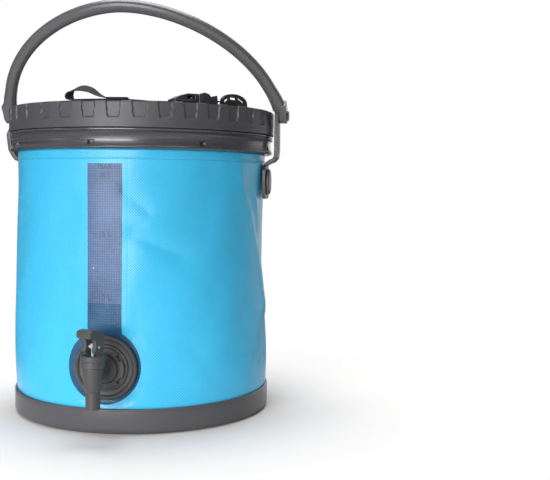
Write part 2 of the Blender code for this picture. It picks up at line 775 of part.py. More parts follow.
def bayonet_sectors(inner, outer, low):
    """Raised sectors, evenly spaced, of the same angle."""
    profile = [(inner, low), (outer, low), (outer, low + BAYONET_THICK)]
    profile += [(inner, low + BAYONET_THICK)]
    pitch = 360.0 / BAYONET_COUNT
    first = TAP_AZIMUTH + pitch / 2 - BAYONET_ANGLE / 2
    starts = [first + pitch * index for index in range(BAYONET_COUNT)]
    return joined([lathe(profile, FILLET_STEPS, start, BAYONET_ANGLE) for start in starts])


def make_collar_ring(material):
    """The collar: a hollowed band under a bead, and a neck that stands up inside the lid."""
    edge = COLLAR_EDGE
    band = COLLAR_R - COLLAR_BAND_DEPTH
    profile = [(COLLAR_INNER, COLLAR_LOW), (COLLAR_R - edge, COLLAR_LOW)]
    profile += [(COLLAR_R, COLLAR_LOW + edge)]
    heights = np.linspace(*COLLAR_HOLLOW_SHARES, 2 * FILLET_STEPS - 1)
    for share in heights:
        hollow = math.sin(math.pi * (share - heights[0]) / (heights[-1] - heights[0]))
        depth = (COLLAR_R - band) * abs(hollow)**COLLAR_HOLLOW_POWER
        profile.append((COLLAR_R - depth, COLLAR_LOW + share * COLLAR_HEIGHT))
    bead = COLLAR_TOP - COLLAR_BEAD
    profile += [(COLLAR_R, bead - COLLAR_GROOVE), (COLLAR_R - COLLAR_GROOVE_DEPTH, bead - COLLAR_GROOVE / 2)]
    profile += [(COLLAR_R, bead), (COLLAR_R, COLLAR_TOP - edge / 2), (COLLAR_R - edge / 2, COLLAR_TOP)]
    profile += [(NECK_R, COLLAR_TOP), (NECK_R, NECK_TOP), (NECK_INNER, NECK_TOP)]
    shoulder = WALL_HEAD + CLEARANCE
    profile += [(NECK_INNER, shoulder), (COLLAR_INNER, shoulder)]
    piece = solid("collar_ring", lathe(profile, RING_STEPS))
    low = LID_LOW + BAYONET_RISE
    fuse(piece, bayonet_sectors(NECK_R - SINK, NECK_R + BAYONET_REACH, low))
    slots = []
    centre = COLLAR_LOW + SLOT_RISE
    for index in range(SLOT_COUNT):
        azimuth = TAP_AZIMUTH + SLOT_PHASE + 360.0 * index / SLOT_COUNT
        low_corner = (COLLAR_R - SLOT_DEPTH, -SLOT_WIDTH / 2, centre - SLOT_HEIGHT / 2)
        high_corner = (COLLAR_R + OVERRUN, SLOT_WIDTH / 2, centre + SLOT_HEIGHT / 2)
        slots.append(turned(block(low_corner, high_corner), about(azimuth)))
    cut(piece, joined(slots))
    seat(piece, material)


def notch_cutter():
    """One shallow pocket of the lid's grip: a trapezium that is open at the top."""
    foot = LID_TOP - NOTCH_HEIGHT
    half_foot = NOTCH_FOOT_WIDTH / 2
    half_top = NOTCH_WIDTH / 2
    corner = NOTCH_CORNER
    outline = [(corner - half_foot, foot), (half_foot - corner, foot), (half_foot, foot + corner)]
    outline += [(half_top, LID_TOP + OVERRUN), (-half_top, LID_TOP + OVERRUN)]
    outline += [(-half_foot, foot + corner)]
    return front_prism(outline, LID_R - NOTCH_DEPTH, LID_R + OVERRUN)


def pointed_oval(length, width, steps):
    """Two equal arcs that meet in points."""
    half = length / 2
    rise = width / 2
    radius = (half * half + rise * rise) / (2 * rise)
    reach = math.degrees(math.asin(half / radius))
    low = arc((0, radius - rise), radius, -90 - reach, -90 + reach, steps)
    high = arc((0, rise - radius), radius, 90 - reach, 90 + reach, steps)
    return low[:-1] + high[:-1]


def lid_spot(radius, azimuth):
    """A place on the lid."""
    angle = math.radians(azimuth)
    return shifted(radius * math.cos(angle), radius * math.sin(angle))


def add_finger_recess(piece):
    """The grip in the lid: a pointed oval crossed by a round well, with walls of its own."""
    place = lid_spot(RECESS_RADIUS, RECESS_AZIMUTH) @ about(RECESS_TURN)
    floor = DISC_TOP - RECESS_DEPTH
    wall = RECESS_WALL
    oval = pointed_oval(RECESS_LENGTH + 4 * wall, RECESS_WIDTH + 2 * wall, SMALL_STEPS // 2)
    top = DISC_TOP - LID_WALL / 2
    fuse(piece, turned(prism(oval, floor - wall, top), place))
    fuse(piece, turned(drum(RECESS_ROUND_R + wall, floor - wall, top), place))
    oval = pointed_oval(RECESS_LENGTH, RECESS_WIDTH, SMALL_STEPS // 2)
    cut(piece, turned(prism(oval, floor, LID_TOP), place))
    cut(piece, turned(drum(RECESS_ROUND_R, floor, LID_TOP), place))


def make_lid(material):
    """The lid: a notched skirt, a flat rim, and a sunk disc with its ports."""
    rim_low = LID_TOP - LID_WALL
    profile = [(0, DISC_LOW), (DISC_R - LID_WALL / 2, DISC_LOW), (RIM_INNER - LID_WALL / 2, rim_low)]
    profile += [(SKIRT_INNER, rim_low), (SKIRT_INNER, LID_LOW), (LID_R, LID_LOW)]
    profile += arc((LID_R - LID_EDGE, LID_TOP - LID_EDGE), LID_EDGE, 0, 90, FILLET_STEPS - 1)
    profile += [(RIM_INNER, LID_TOP), (DISC_R, DISC_TOP), (0, DISC_TOP)]
    piece = solid("lid", lathe(profile, RING_STEPS))
    low = LID_LOW + BAYONET_RISE - BAYONET_THICK - RUNNING_GAP
    fuse(piece, bayonet_sectors(SKIRT_INNER - BAYONET_REACH, SKIRT_INNER + SINK, low))
    notches = []
    for index in range(NOTCH_COUNT):
        azimuth = TAP_AZIMUTH + NOTCH_PHASE + 360.0 * index / NOTCH_COUNT
        notches.append(turned(notch_cutter(), about(azimuth)))
    cut(piece, joined(notches))
    add_finger_recess(piece)
    for radius, azimuth, hole in (
        (DOME_RADIUS, DOME_AZIMUTH, DOME_STEM_R + CLEARANCE),
        (PLUG_RADIUS, PLUG_AZIMUTH, PLUG_STEM_R + RUNNING_GAP),
    ):
        place = lid_spot(radius, azimuth)
        fuse(piece, turned(drum(BOSS_R, DISC_TOP - LID_WALL / 2, BOSS_TOP), place))
        cut(piece, turned(drum(hole, DISC_LOW - OVERRUN, LID_TOP, SMALL_STEPS), place))
    place = lid_spot(CAP_RADIUS, CAP_AZIMUTH)
    outer = FILLER_R + FILLER_WALL
    fuse(piece, turned(drum(outer, DISC_TOP - LID_WALL / 2, FILLER_TOP), place))
    cut(piece, turned(drum(FILLER_R, DISC_LOW - OVERRUN, FILLER_TOP + OVERRUN), place))
    seat(piece, material)


def make_lid_gasket(material):
    """The soft ring between the lid and the top of the neck."""
    middle = (NECK_INNER + NECK_R) / 2
    inner = middle - GASKET_WIDTH / 2
    outer = middle + GASKET_WIDTH / 2
    low = NECK_TOP + CLEARANCE
    high = low + GASKET_HEIGHT
    profile = [(inner, low), (outer, low), (outer, high), (inner, high)]
    seat(solid("lid_gasket", lathe(profile, RING_STEPS)), material)


def make_filler_cap(cap_material, seal_material, frame):
    """The tall screw cap with a dished top and a grip bar, and the seal under its roof."""
    inner = FILLER_R + FILLER_WALL + RUNNING_GAP
    top_r = CAP_R - CAP_TAPER
    dish = CAP_TOP - CAP_DISH
    profile = [(0, CAP_ROOF_LOW), (inner, CAP_ROOF_LOW), (inner, CAP_LOW), (CAP_R, CAP_LOW)]
    profile += [(CAP_R, CAP_LOW + CAP_BAND), (CAP_R - CAP_TAPER / 2, CAP_LOW + CAP_BAND + CAP_TAPER)]
    profile += arc((top_r - CAP_EDGE, CAP_TOP - CAP_EDGE), CAP_EDGE, 0, 90, FILLET_STEPS)
    profile += [(CAP_DISH_R + CAP_TAPER, CAP_TOP), (CAP_DISH_R, CAP_TOP - CAP_TAPER)]
    profile += [(CAP_DISH_R, dish), (0, dish)]
    piece = solid("filler_cap", lathe(profile, PART_STEPS))
    half_bar = CAP_GRIP_WIDTH / 2
    reach = CAP_DISH_R + CAP_TAPER / 2
    bar = rounded_box(half_bar, dish - CAP_ROOF / 2, CAP_TOP - CAP_TAPER, CAP_TAPER, 1)
    fuse(piece, front_prism(bar, -reach, reach))
    seat(piece, cap_material, frame)
    low = FILLER_TOP + CLEARANCE
    seal = drum(inner - RUNNING_GAP, low, low + CAP_SEAL)
    seat(solid("filler_cap_seal", seal), seal_material, frame)


def make_cap_tether(material, frame):
    """The strap from the ring round the filler neck up to the cap's side."""
    neck = FILLER_R + FILLER_WALL
    ring = [(neck + RUNNING_GAP, TETHER_LOW), (CAP_R - CAP_TAPER, TETHER_LOW)]
    ring += [(CAP_R - CAP_TAPER, TETHER_LOW + TETHER), (neck + RUNNING_GAP, TETHER_LOW + TETHER)]
    piece = solid("cap_tether", lathe(ring, PART_STEPS))
    out = CAP_R + TETHER_REACH
    middle = TETHER_LOW + TETHER / 2
    top = TETHER_LOW + TETHER_RISE
    bend = TETHER
    line = [(CAP_R - 2 * CAP_TAPER, middle), (out - bend, middle), (out - bend / 4, middle + bend / 4)]
    line += [(out, middle + bend), (out, top - bend), (out - bend / 4, top - bend / 4)]
    line += [(out - bend, top), (CAP_R + CLEARANCE, top)]
    strip = ribbon(line, [TETHER - CLEARANCE / 3] * len(line))
    fuse(piece, side_prism(strip, TETHER_WIDTH / 2))
    seat(piece, material, frame)


def make_dome_valve(material):
    """The soft one-way valve: a dome on a stem that is barbed under the lid."""
    low = BOSS_TOP + CLEARANCE
    under = DISC_LOW - CLEARANCE
    barb = DOME_STEM_R + DOME_BARB
    profile = [(0, under - DOME_BARB), (DOME_STEM_R, under - DOME_BARB), (barb, under)]
    profile += [(DOME_STEM_R, under), (DOME_STEM_R, low), (DOME_R, low)]
    angles = np.radians(np.linspace(12, 90, 2 * FILLET_STEPS))
    profile += [(DOME_R * math.cos(a), low + DOME_HEIGHT * math.sin(a)) for a in angles[:-1]]
    profile += [(0, low + DOME_HEIGHT)]
    mesh = turned(lathe(profile, PART_STEPS), lid_spot(DOME_RADIUS, DOME_AZIMUTH))
    seat(solid("dome_valve", mesh), material)


def make_vent_plug(material):
    """The pull-up vent plug, with a catch below the lid that ends its travel."""
    low = BOSS_TOP + CLEARANCE
    catch_top = DISC_LOW - PLUG_TRAVEL - CLEARANCE
    catch = PLUG_STEM_R + 2 * RUNNING_GAP
    edge = PLUG_DISH / 2
    profile = [(0, catch_top - DOME_BARB), (PLUG_STEM_R, catch_top - DOME_BARB), (catch, catch_top)]
    profile += [(PLUG_STEM_R, catch_top), (PLUG_STEM_R, low), (PLUG_R - edge, low)]
    profile += [(PLUG_R, low + edge), (PLUG_R, low + PLUG_HEIGHT - edge)]
    profile += [(PLUG_R - edge, low + PLUG_HEIGHT), (PLUG_R - 2 * PLUG_DISH, low + PLUG_HEIGHT)]
    profile += [(PLUG_R - 3 * PLUG_DISH, low + PLUG_HEIGHT - PLUG_DISH)]
    profile += [(0, low + PLUG_HEIGHT - PLUG_DISH)]
    mesh = turned(lathe(profile, PART_STEPS), lid_spot(PLUG_RADIUS, PLUG_AZIMUTH))
    seat(solid("vent_plug", mesh), material)


def arm_front():
    """The arm and its plate seen from outside: round top, straight arm, neck, rounded plate."""
    half = ARM_WIDTH / 2
    plate = PLATE_WIDTH / 2
    neck = ARM_NECK_WIDTH / 2
    corner = PLATE_CORNER
    taper_z = PIVOT_Z - 2 * ARM_TOP_R
    bend_z = COLLAR_LOW - ARM_FOOT_DROP
    right = arc((plate - corner, PLATE_LOW + corner), corner, -90, 0, FILLET_STEPS)
    right += [(plate, PLATE_TOP - corner), (plate - corner / 2, PLATE_TOP - corner / 3)]
    right += [(neck, PLATE_TOP), (neck, bend_z), (half, bend_z + corner), (half, taper_z)]
    right += arc((0, PIVOT_Z), ARM_TOP_R, 0, 90, FILLET_STEPS)
    left = [(-y, z) for y, z in right[-2::-1]]
    return right + left


def arm_side(bow):
    """The arm's bent strip seen from the side: down outside the lid, in under the collar."""
    arm = ARM_X + ARM_THICK / 2
    plate = PLATE_X + PLATE_THICK / 2
    bend = COLLAR_LOW - ARM_FOOT_DROP
    drop = bend - PLATE_TOP
    top = PIVOT_Z + ARM_TOP_R
    span = PIVOT_Z - bend
    step = (arm - plate) / 2
    line = [(arm, top + OVERRUN), (arm, PIVOT_Z - ARM_STRAIGHT_SHARE * ARM_TOP_R)]
    for bowed, inward, above in ARM_UPPER_SHARES:
        line.append((arm + bowed * bow - inward * step, bend + above * span))
    for inward, below in ARM_LOWER_SHARES:
        line.append((arm - inward * step, bend - below * drop))
    line.append((plate, PLATE_LOW - OVERRUN))
    thick = [ARM_THICK - share * (ARM_THICK - PLATE_THICK) for share in ARM_THINNING_SHARES]
    return ribbon(line, thick)


def make_lug(side, materials, frame):
    """One arm with its plate, the oval button that pins the plate, and the pivot pin."""
    piece = solid(f"lug_arm_{side}", side_prism(arm_side(ARM_BOWS[side]), PLATE_WIDTH))
    outline = arm_front()
    combine(piece, front_prism(outline, PLATE_X / 2, 2 * ARM_OUTER), "INTERSECT")
    reach = ARM_OUTER + OVERRUN
    hole = drum(PIN_R + CLEARANCE, ARM_X - OVERRUN, reach, SMALL_STEPS)
    cut(piece, turned(hole, shifted(z=PIVOT_Z) @ AXIS_TO_X))
    middle = (PLATE_LOW + PLATE_TOP) / 2
    hole = drum(BUTTON_STEM_R + CLEARANCE, PLATE_X - OVERRUN, PLATE_OUTER + OVERRUN, SMALL_STEPS)
    cut(piece, turned(hole, shifted(z=middle) @ AXIS_TO_X))
    seat(piece, materials["charcoal"], frame)

    low = PLATE_OUTER + CLEARANCE
    angles = np.radians(np.arange(BUTTON_STEPS) * 360 / BUTTON_STEPS)
    rings = []
    for out, share in BUTTON_RING_SHARES:
        x = low + out * BUTTON_THICK
        half_width = BUTTON_WIDTH / 2 * share
        half_height = BUTTON_HEIGHT / 2 * share
        ring = [(x, half_width * math.cos(a), middle + half_height * math.sin(a)) for a in angles]
        rings.append(ring)
    button = solid(f"anchor_button_{side}", loft(rings))
    stem = drum(BUTTON_STEM_R, PLATE_X, low + SINK, SMALL_STEPS)
    fuse(button, turned(stem, shifted(z=middle) @ AXIS_TO_X))
    seat(button, materials["mid_grey"], frame)

    head = EYE_X + BAIL_EYE_THICK + RUNNING_GAP
    profile = [(0, ARM_X), (PIN_R, ARM_X), (PIN_R, head), (PIN_HEAD_R, head)]
    profile += [(PIN_HEAD_R - PIN_HEAD / 2, head + PIN_HEAD), (0, head + PIN_HEAD)]
    pin = turned(lathe(profile, SMALL_STEPS), shifted(z=PIVOT_Z) @ AXIS_TO_X)
    seat(solid(f"pivot_pin_{side}", pin), materials["charcoal"], frame)


def bail_centres():
    """Points down the middle of the bail from one foot to the other, in its own plane."""
    start = ARM_TOP_R + BAIL_FOOT_GAP
    first = math.asin((start / BAIL_REACH)**(BAIL_ROUNDNESS / 2))
    angles = np.linspace(first, math.pi - first, BAIL_STEPS)
    cosines = np.cos(angles)
    across = BAIL_HALF_SPAN * np.sign(cosines) * np.abs(cosines)**(2 / BAIL_ROUNDNESS)
    up = BAIL_REACH * np.abs(np.sin(angles))**(2 / BAIL_ROUNDNESS)
    foot = 1 - smoothstep((up - start) / BAIL_FOOT_FLARE)
    shift = LID_R + BAIL_FOOT_INSET + BAIL_FOOT_HALF_WIDTH - abs(across[0])
    across = across + np.sign(across) * foot * shift
    return across, up, foot


def make_bail(material, frame):
    """The carrying bail: an oval grip swept along a rounded arch, with a flat eye on each foot."""
    across, up, foot = bail_centres()
    line = np.stack([across, up], axis=1)
    along = np.gradient(line, axis=0)
    along /= np.linalg.norm(along, axis=1)[:, None]
    along[0] = (0, 1)
    along[-1] = (0, -1)
    side = np.stack([along[:, 1], -along[:, 0]], axis=1)
    half_width = BAIL_HALF_WIDTH + (BAIL_FOOT_HALF_WIDTH - BAIL_HALF_WIDTH) * foot
    angles = np.radians((np.arange(BAIL_SIDES) + 0.5) * 360 / BAIL_SIDES)
    rings = []
    for index in range(BAIL_STEPS):
        ring = []
        for angle in angles:
            out = half_width[index] * math.cos(angle)
            depth = BAIL_HALF_DEPTH * math.sin(angle)
            spot = line[index] + side[index] * out
            ring.append((spot[0], depth, spot[1]))
        rings.append(ring)
    piece = solid("bail", loft(rings))
    far = EYE_X + BAIL_EYE_THICK
    root = ARM_TOP_R + BAIL_FOOT_GAP + BAIL_EYE_R
    outline = arc((0, 0), BAIL_EYE_R, 180, 360, 2 * FILLET_STEPS)
    outline += [(BAIL_HALF_DEPTH - SINK, root), (SINK - BAIL_HALF_DEPTH, root)]
    bores = []
    for half_turn in (0.0, 180.0):
        fuse(piece, turned(front_prism(outline, EYE_X, far), about(half_turn)))
        bore = drum(PIN_R + RUNNING_GAP, EYE_X - OVERRUN, far + OVERRUN, SMALL_STEPS)
        bores.append(turned(bore, about(half_turn) @ AXIS_TO_X))
    cut(piece, joined(bores))
    seat(piece, material, frame)


def tap_lathe(profile, steps=PART_STEPS):
    """Turn an outline of (radius, distance out from the carrier's axis) round the tap's shank."""
    half_step = about(180.0 / steps)
    return turned(lathe(profile, steps), shifted(z=TAP_Z) @ AXIS_TO_X @ half_step)


def barrel_lathe(profile, steps=PART_STEPS):
    """Turn an outline of (radius, height) round the tap's barrel."""
    return turned(lathe(profile, steps), shifted(x=BARREL_X))


def make_tap_flange(materials, frame):
    """The flange with its raised rim and seat, and the shank that passes through the wall."""
    back = FLANGE_X
    inner_end = FLAT_X - TAP_SHANK_DEPTH
    face = FLANGE_FACE
    rim = face + TAP_RIM_HEIGHT
    rim_inner = TAP_FLANGE_R - TAP_RIM_WIDTH
    profile = [(TAP_SOCKET_R, inner_end), (TAP_SHANK_R, inner_end), (TAP_SHANK_R, back)]
    profile += [(TAP_FLANGE_R, back)]
    profile += arc((TAP_FLANGE_R - TAP_RIM_WIDTH / 2, rim - TAP_RIM_WIDTH / 2), TAP_RIM_WIDTH / 2,
                   0, 180, FILLET_STEPS + 1)
    profile += [(rim_inner - TAP_RIM_WIDTH / 3, face), (TAP_SEAT_R + TAP_RIM_WIDTH / 4, face)]
    profile += [(TAP_SEAT_R, face + TAP_SEAT_HEIGHT), (TAP_SOCKET_R, face + TAP_SEAT_HEIGHT)]
    seat(solid("tap_flange", tap_lathe(profile)), materials["tap_grey"], frame)

    low = GASKET_X
    profile = [(TAP_HOLE_R, low), (TAP_GASKET_R, low), (TAP_GASKET_R, low + TAP_GASKET)]
    profile += [(TAP_HOLE_R, low + TAP_GASKET)]
    seat(solid("tap_gasket", tap_lathe(profile)), materials["rubber"], frame)

    high = FLAT_X - FABRIC - CLEARANCE
    low = high - TAP_WASHER
    profile = [(TAP_HOLE_R, low), (TAP_WASHER_R, low), (TAP_WASHER_R, high), (TAP_HOLE_R, high)]
    seat(solid("tap_backing_washer", tap_lathe(profile)), materials["rubber"], frame)

    high = low - CLEARANCE
    low = high - TAP_NUT_THICK
    bore = TAP_SHANK_R + CLEARANCE
    nut = lathe([(bore, low), (TAP_NUT_R, low), (TAP_NUT_R, high), (bore, high)], 6)
    piece = solid("tap_backing_nut", nut)
    cut(piece, drum(bore, low - OVERRUN, high + OVERRUN, SMALL_STEPS))
    piece.data.transform(shifted(z=TAP_Z) @ AXIS_TO_X)
    seat(piece, materials["tap_grey"], frame)


def make_tap_lock_collar(material, frame):
    """The notched collar that locks the tap body on the flange's seat."""
    low = LOCK_X
    high = low + TAP_LOCK_THICK
    inner = TAP_SPIGOT_R + RUNNING_GAP
    edge = TAP_LOCK_THICK / 4
    profile = [(inner, low), (TAP_LOCK_R, low), (TAP_LOCK_R, high - edge)]
    profile += [(TAP_LOCK_R - edge, high), (TAP_COLLAR_R + edge, high)]
    profile += [(TAP_COLLAR_R + edge / 2, high - edge), (inner, high - edge)]
    piece = solid("tap_lock_collar", lathe(profile, PART_STEPS))
    half = TAP_LOCK_NOTCH_WIDTH / 2
    notches = []
    for index in range(TAP_LOCK_NOTCHES):
        corner = (TAP_LOCK_R - TAP_LOCK_NOTCH_DEPTH, -half, low - OVERRUN)
        far = (TAP_LOCK_R + OVERRUN, half, high + OVERRUN)
        turn = about((index + 0.5) * 360.0 / TAP_LOCK_NOTCHES)
        notches.append(turned(block(corner, far), turn))
    cut(piece, joined(notches))
    piece.data.transform(shifted(z=TAP_Z) @ AXIS_TO_X)
    seat(piece, material, frame)


def make_tap_body(material, frame):
    """Spigot, stepped neck, barrel and nozzle in one moulding, with its water way cut through."""
    barrel = [(0, NOZZLE_FOOT_Z), (NOZZLE_R - SINK, NOZZLE_FOOT_Z), (NOZZLE_R, NOZZLE_FOOT_Z + SINK)]
    barrel += [(NOZZLE_R, BARREL_FOOT_Z - SINK), (BARREL_FOOT_R, BARREL_FOOT_Z)]
    barrel += [(BARREL_R, BARREL_SHOULDER_Z - SINK), (BARREL_R, BARREL_SHOULDER_Z)]
    barrel += [(BARREL_THREAD_R, BARREL_SHOULDER_Z), (BARREL_THREAD_R, BARREL_TOP), (0, BARREL_TOP)]
    piece = solid("tap_body", barrel_lathe(barrel))
    inner_end = FLANGE_X
    lock_face = LOCK_X + TAP_LOCK_THICK + CLEARANCE
    neck = [(0, inner_end), (TAP_SPIGOT_R, inner_end), (TAP_SPIGOT_R, lock_face)]
    neck += [(TAP_COLLAR_R, lock_face), (TAP_COLLAR_R, lock_face + TAP_COLLAR_THICK / 2)]
    neck += [(TAP_COLLAR_R - SINK, lock_face + TAP_COLLAR_THICK / 2)]
    neck += [(TAP_NECK_R, lock_face + TAP_COLLAR_THICK), (TAP_NECK_END_R, BARREL_X - BARREL_R)]
    neck += [(TAP_NECK_END_R, BARREL_X), (0, BARREL_X)]
    fuse(piece, tap_lathe(neck))
    way = [(0, inner_end - OVERRUN), (TAP_WAY_R, inner_end - OVERRUN), (TAP_WAY_R, BARREL_X)]
    way += [(0, BARREL_X)]
    cut(piece, tap_lathe(way, SMALL_STEPS))
    bore = [(0, NOZZLE_FOOT_Z - OVERRUN), (NOZZLE_BORE_R, NOZZLE_FOOT_Z - OVERRUN)]
    bore += [(NOZZLE_BORE_R, CHAMBER_FLOOR_Z), (CHAMBER_R, CHAMBER_FLOOR_Z)]
    bore += [(CHAMBER_R, BARREL_TOP + OVERRUN), (0, BARREL_TOP + OVERRUN)]
    cut(piece, barrel_lathe(bore, SMALL_STEPS))
    seat(piece, material, frame)


def make_tap_bonnet(material, frame):
    """The ring that closes the barrel and guides the stem."""
    inner = BONNET_INNER
    roof = BONNET_TOP - BONNET_ROOF
    stem_hole = STEM_HEAD_R + RUNNING_GAP
    edge = BONNET_EDGE
    profile = [(inner, BONNET_LOW), (BONNET_R - edge, BONNET_LOW), (BONNET_R, BONNET_LOW + edge)]
    profile += [(BONNET_R, BONNET_TOP - edge), (BONNET_R - edge, BONNET_TOP)]
    profile += [(BONNET_R - 2 * edge, BONNET_TOP), (BONNET_R - 3 * edge, BONNET_TOP - edge)]
    profile += [(stem_hole, BONNET_TOP - edge), (stem_hole, roof), (inner, roof)]
    seat(solid("tap_bonnet", barrel_lathe(profile)), material, frame)


def lever_turn():
    """The lever's turn about the barrel, away from the tap's own direction."""
    return shifted(x=BARREL_X) @ about(LEVER_TURN) @ shifted(x=-BARREL_X)


def make_tap_stem(stem_material, seal_material, frame):
    """The stem that the lever lifts, with the soft seal that closes the outlet."""
    origin = (BARREL_X, 0.0, LEVER_Z)
    seal_low = CHAMBER_FLOOR_Z + CLEARANCE
    piston = seal_low + VALVE_SEAL + CLEARANCE
    top = LEVER_Z + STEM_HEAD_R
    profile = [(0, piston), (STEM_PISTON_R, piston), (STEM_PISTON_R, piston + STEM_PISTON_HEIGHT)]
    profile += [(STEM_R, piston + STEM_PISTON_HEIGHT + STEM_R)]
    profile += [(STEM_R, LEVER_Z - STEM_NECK_SHARE * STEM_HEAD_R), (STEM_HEAD_R, LEVER_Z - STEM_HEAD_R)]
    profile += [(STEM_HEAD_R, top - SINK), (STEM_HEAD_R - SINK, top), (0, top)]
    piece = solid("tap_stem", barrel_lathe(profile, SMALL_STEPS))
    pin_way = drum(LEVER_PIN_R + CLEARANCE, -2 * STEM_HEAD_R, 2 * STEM_HEAD_R, SMALL_STEPS)
    across = Matrix.Rotation(math.radians(90), 4, "X")
    cut(piece, turned(pin_way, lever_turn() @ shifted(BARREL_X, 0, LEVER_Z) @ across))
    seat(piece, stem_material, frame, origin)
    seal = barrel_lathe([(0, seal_low), (STEM_PISTON_R, seal_low),
                         (STEM_PISTON_R, seal_low + VALVE_SEAL), (0, seal_low + VALVE_SEAL)])
    seat(solid("tap_valve_seal", seal), seal_material, frame, origin)


def make_tap_lever(lever_material, pin_material, frame):
    """The lever: two legs on a pin through the stem's head, under an arched thumb pad."""
    origin = (BARREL_X, 0.0, LEVER_Z)
    rise = LEVER_RISE
    leg = LEVER_LEG_R
    pad = LEVER_PAD
    top = [(out * LEVER_REACH, up * rise) for out, up in LEVER_TOP_SHARES]
    under = [(out * LEVER_REACH, up * rise) for out, up in LEVER_UNDER_SHARES]
    knee = (LEVER_KNEE_SHARES[0] * leg, LEVER_KNEE_SHARES[1] * rise)
    foot = arc((0, 0), leg, LEVER_FOOT_ANGLE - 90, -LEVER_FOOT_ANGLE - 90, 2 * FILLET_STEPS)
    outline = [*smooth_line(top, FILLET_STEPS), *smooth_line(under, FILLET_STEPS), knee, *foot]
    outline = [(BARREL_X + x, LEVER_Z + z) for x, z in outline]
    piece = solid("tap_lever", side_prism(outline, LEVER_PAD_WIDTH / 2))
    low = (BARREL_X - 2 * leg, -LEVER_GAP / 2, LEVER_Z - 2 * leg)
    high = (BARREL_X + 2 * leg, LEVER_GAP / 2, LEVER_Z + rise - pad)
    cut(piece, block(low, high))
    side = LEVER_GAP / 2 + LEVER_LEG_THICK
    trims = []
    for sign in (-1, 1):
        near = sign * side
        far = sign * LEVER_PAD_WIDTH
        corner = (BARREL_X - 3 * leg, min(near, far), LEVER_Z - 2 * leg)
        opposite = (BARREL_X + 3 * leg, max(near, far), LEVER_Z + rise - pad)
        trims.append(block(corner, opposite))
    cut(piece, joined(trims))
    across = Matrix.Rotation(math.radians(90), 4, "X")
    place = shifted(BARREL_X, 0, LEVER_Z) @ across
    cut(piece, turned(drum(LEVER_PIN_R + CLEARANCE, -2 * side, 2 * side, SMALL_STEPS), place))
    piece.data.transform(lever_turn())
    seat(piece, lever_material, frame, origin)
    pin = turned(drum(LEVER_PIN_R, -side, side, SMALL_STEPS), lever_turn() @ place)
    seat(solid("tap_lever_pin", pin), pin_material, frame, origin)


def rim_point(azimuth, radius, height):
    """A point over the lid from its direction, radius and height above the rim."""
    angle = math.radians(azimuth)
    return (radius * math.cos(angle), radius * math.sin(angle), LID_TOP + height)


def webbing(route, steps):
    """A flat strap along a route of (azimuth, radius, height, lean of its outer edge) points."""
    line = smooth_line(route, steps)
    centres = np.array([rim_point(*point[:3]) for point in line])
    turns = np.radians(line[:, 0])
    leans = np.radians(line[:, 3])
    level = np.cos(leans)
    width = np.stack([level * np.cos(turns), level * np.sin(turns), -np.sin(leans)], axis=1)
    along = np.gradient(centres, axis=0)
    along /= np.linalg.norm(along, axis=1)[:, None]
    up = np.cross(along, width)
    up /= np.linalg.norm(up, axis=1)[:, None]
    rings = []
    for centre, across, lift in zip(centres, width, up):
        half = across * STRAP_WIDTH / 2
        rise = lift * STRAP_THICK / 2
        rings.append([centre - half - rise, centre + half - rise, centre + half + rise,
                      centre - half + rise])
    return loft(rings)


def make_strap(material):
    """The webbing that lies on the lid's rim and turns back in a loop at its left end."""
    flat = CLEARANCE + STRAP_THICK / 2
    tail = flat + STRAP_LAYER
    sunk = flat - LID_DROP
    route = [
        (-78.0, STRAP_INNER_RADIUS, sunk, 0.0),
        (-82.5, STRAP_INNER_RADIUS, sunk, 0.0),
        (-87.5, STRAP_INNER_RADIUS, flat, 0.0),
        (-93.5, (STRAP_INNER_RADIUS + STRAP_RADIUS) / 2, flat, 0.0),
        (-99.5, STRAP_RADIUS, flat, 0.0),
        (-110.0, STRAP_RADIUS, flat, 0.0),
        (-119.6, STRAP_RADIUS, flat, 0.0),
    ]
    for (azimuth, share), lean in zip(STRAP_LOOP_SHARES, STRAP_LOOP_LEANS):
        route.append((azimuth, STRAP_RADIUS, share * STRAP_LOOP_HEIGHT, lean))
    route += [(azimuth, STRAP_RADIUS, tail, 0.0) for azimuth in (-104.6, -99.8, -96.4)]
    seat(solid("strap_webbing", webbing(route, 3)), material)


def make_buckle_socket(material, frame):
    """The buckle's socket, open at its mouth, with a window in each side for a prong."""
    half = BUCKLE_WIDTH / 2
    low = SEAT_Z
    wall = BUCKLE_WALL
    mouth = BUCKLE_LENGTH / 2
    outline = [(-mouth, low), (mouth, low)]
    outline += [(x * mouth, low + z * BUCKLE_HEIGHT) for x, z in BUCKLE_TOP_SHARES]
    piece = solid("buckle_socket", side_prism(outline, half))
    back, step = (share * mouth for share in BUCKLE_CAVITY_SHARES)
    side = half - wall
    roof = low + BUCKLE_HEIGHT - wall
    cavity = [(back, low + wall), (mouth + OVERRUN, low + wall), (mouth + OVERRUN, roof), (step, roof)]
    cavity += [(step, low + BUCKLE_STEP_SHARE * BUCKLE_HEIGHT)]
    cavity += [(back, low + BUCKLE_STEP_SHARE * BUCKLE_HEIGHT)]
    cut(piece, side_prism(cavity, side))
    start, end = (share * mouth for share in BUCKLE_WINDOW_SHARES)
    for near, far in ((-half - OVERRUN, wall - side), (side - wall, half + OVERRUN)):
        cut(piece, block((start, near, low + 2 * wall), (end, far, roof)))
    seat(piece, material, frame)


